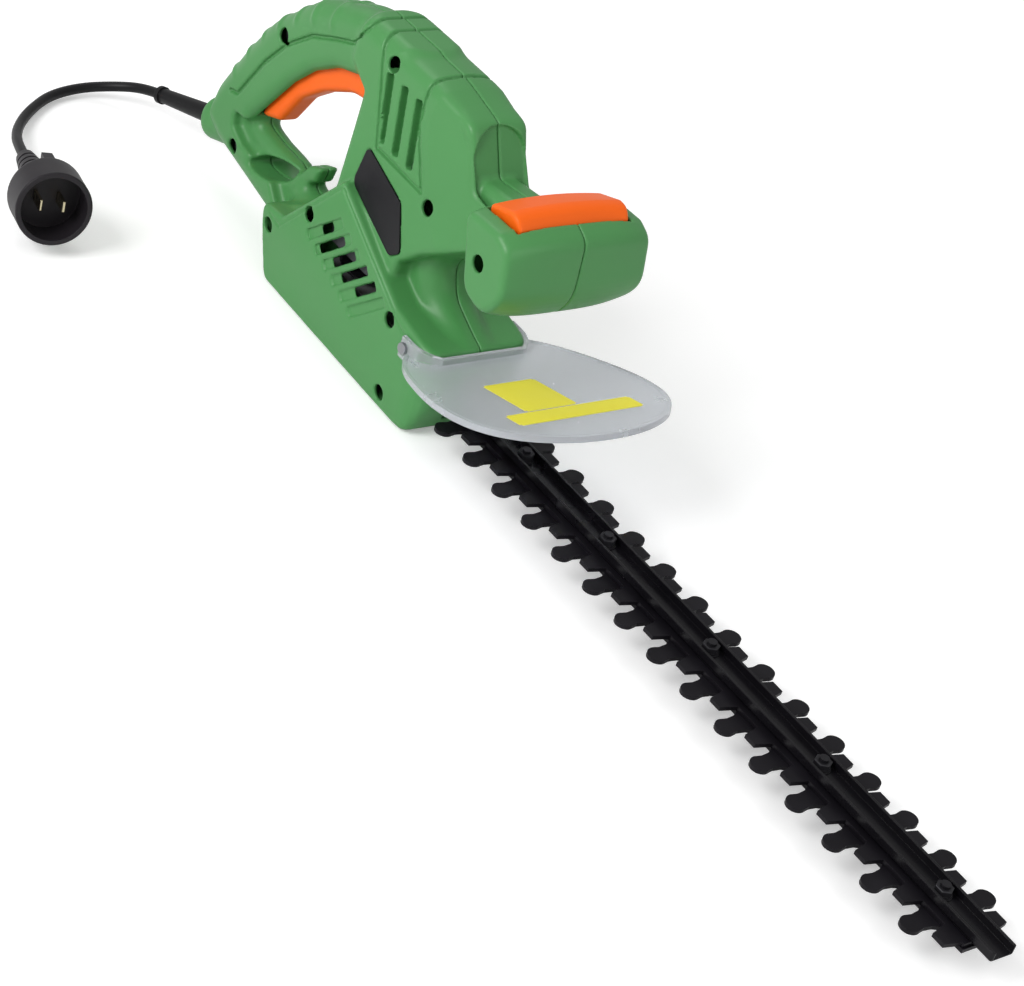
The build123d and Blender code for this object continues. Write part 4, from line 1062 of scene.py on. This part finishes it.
@dataclass
class Studio:
    """Pale floor, white surround, soft lamps and the camera; lengths in metres."""

    lens_mm: float = 94.08
    place: Point = (0.9137, -0.8367, 0.7599)
    right: Point = (0.5554, 0.7875, 0.2672)
    up: Point = (-0.5888, 0.1455, 0.795)
    forward: Point = (-0.5872, 0.5989, -0.5445)
    aim_at: Point = (0.0, 0.0, 0.05)
    world_light: float = 0.48
    floor_half: float = 12.0
    floor_drop: float = 0.0004

    def build(self) -> None:
        """Build the whole stage."""
        self.floor()
        self.surround()
        self.lamps()
        self.camera()

    def seen_white(self, tree: bpy.types.NodeTree, shader: bpy.types.Node, end: bpy.types.Node) -> None:
        """Show plain white to the camera and through glass, and the shader to everything else.

        Args:
            tree: The node tree.
            shader: The background shader that lights the object.
            end: The output node.
        """
        path = new_node(tree, "LightPath")
        either = new_node(tree, "Math", "MAXIMUM")
        white = new_node(tree, "Background")
        preset(white, {"Color": WHITE, "Strength": 1.0})
        mix = new_node(tree, "MixShader")
        wire(tree, (path.outputs["Is Camera Ray"], either.inputs[0]),
             (path.outputs["Is Transmission Ray"], either.inputs[1]),
             (either.outputs["Value"], mix.inputs["Fac"]), (shader.outputs["Background"], mix.inputs[1]),
             (white.outputs["Background"], mix.inputs[2]), (mix.outputs["Shader"], end.inputs["Surface"]))

    def surround(self) -> None:
        """White world with a moderate light."""
        world = bpy.data.worlds.new("studio")
        bpy.context.scene.world = world
        world.use_nodes = True
        tree = world.node_tree
        shader = tree.nodes["Background"]
        preset(shader, {"Color": WHITE, "Strength": self.world_light})
        self.seen_white(tree, shader, tree.nodes["World Output"])
        bpy.context.scene.view_settings.view_transform = "Standard"

    def floor(self) -> None:
        """A pale floor that keeps the shadow; to the camera it glows more with distance, up to white."""
        shape = bmesh.new()
        bmesh.ops.create_grid(shape, x_segments=1, y_segments=1, size=self.floor_half)
        mesh = bpy.data.meshes.new("floor")
        shape.to_mesh(mesh)
        shape.free()
        piece = bpy.data.objects.new("floor", mesh)
        piece.location.z = -self.floor_drop
        bpy.context.collection.objects.link(piece)
        material = bpy.data.materials.new("pale_floor")
        material.use_nodes = True
        tree = material.node_tree
        shader = tree.nodes["Principled BSDF"]
        preset(shader, {"Emission Color": WHITE, "Roughness": 0.9, "Specular IOR Level": 0.1})
        noise = new_node(tree, "TexNoise")
        preset(noise, {"Scale": 3.0})
        tone = colour_mix(tree)
        preset(tone, {"A": (0.93, 0.93, 0.93, 1), "B": (0.95, 0.95, 0.95, 1)})
        path = new_node(tree, "LightPath")
        lift = new_node(tree, "Math", "MULTIPLY")
        where = new_node(tree, "TexCoord")
        reach = new_node(tree, "VectorMath", "LENGTH")
        fade = new_node(tree, "MapRange")
        preset(fade, {"From Min": 0.6, "From Max": 2.2, "To Min": 0.28, "To Max": 1.0})
        wire(tree, (noise.outputs["Fac"], tone.inputs["Factor"]),
             (tone.outputs["Result"], shader.inputs["Base Color"]),
             (where.outputs["Object"], reach.inputs[0]), (reach.outputs["Value"], fade.inputs["Value"]),
             (path.outputs["Is Camera Ray"], lift.inputs[0]), (fade.outputs["Result"], lift.inputs[1]),
             (lift.outputs["Value"], shader.inputs["Emission Strength"]))
        mesh.materials.append(material)

    def lamps(self) -> None:
        """A large key above the right side, a fill ahead and a rim behind."""
        for name, place, size, power in (("key", (0.0, -1.95, 1.5), 1.2, 40.0),
                                         ("fill", (1.8, 0.3, 1.1), 1.4, 7.5),
                                         ("rim", (-1.7, 0.2, 1.7), 1.0, 7.0)):
            light = bpy.data.lights.new(name, "AREA")
            light.energy = power
            light.size = size
            lamp = bpy.data.objects.new(name, light)
            lamp.location = place
            aim = Vector(self.aim_at) - lamp.location
            lamp.rotation_euler = aim.to_track_quat("-Z", "Y").to_euler()
            bpy.context.collection.objects.link(lamp)

    def camera(self) -> None:
        """The viewing camera."""
        lens = bpy.data.cameras.new("camera")
        lens.lens = self.lens_mm
        lens.sensor_width = 36.0
        lens.clip_start = 0.01
        lens.clip_end = 50.0
        eye = bpy.data.objects.new("camera", lens)
        right, up, back = Vector(self.right), Vector(self.up), -Vector(self.forward)
        turn = Matrix((right, up, back)).transposed().to_4x4()
        eye.matrix_world = Matrix.Translation(self.place) @ turn
        bpy.context.collection.objects.link(eye)
        bpy.context.scene.camera = eye


def main() -> None:
    """Build every piece in order."""
    logging.basicConfig(level=logging.INFO)
    effects = SharedEffects()
    effects.build()
    paint = Paintwork(effects)
    paint.dress_nodes()
    HousingSkin().build(paint)
    RearTrigger().build(paint)
    FrontSwitchBar().build(paint)
    SupplyCord().build(paint)
    GuardLabels().build(paint)
    Studio().build()


if __name__ == "__main__":
    main()
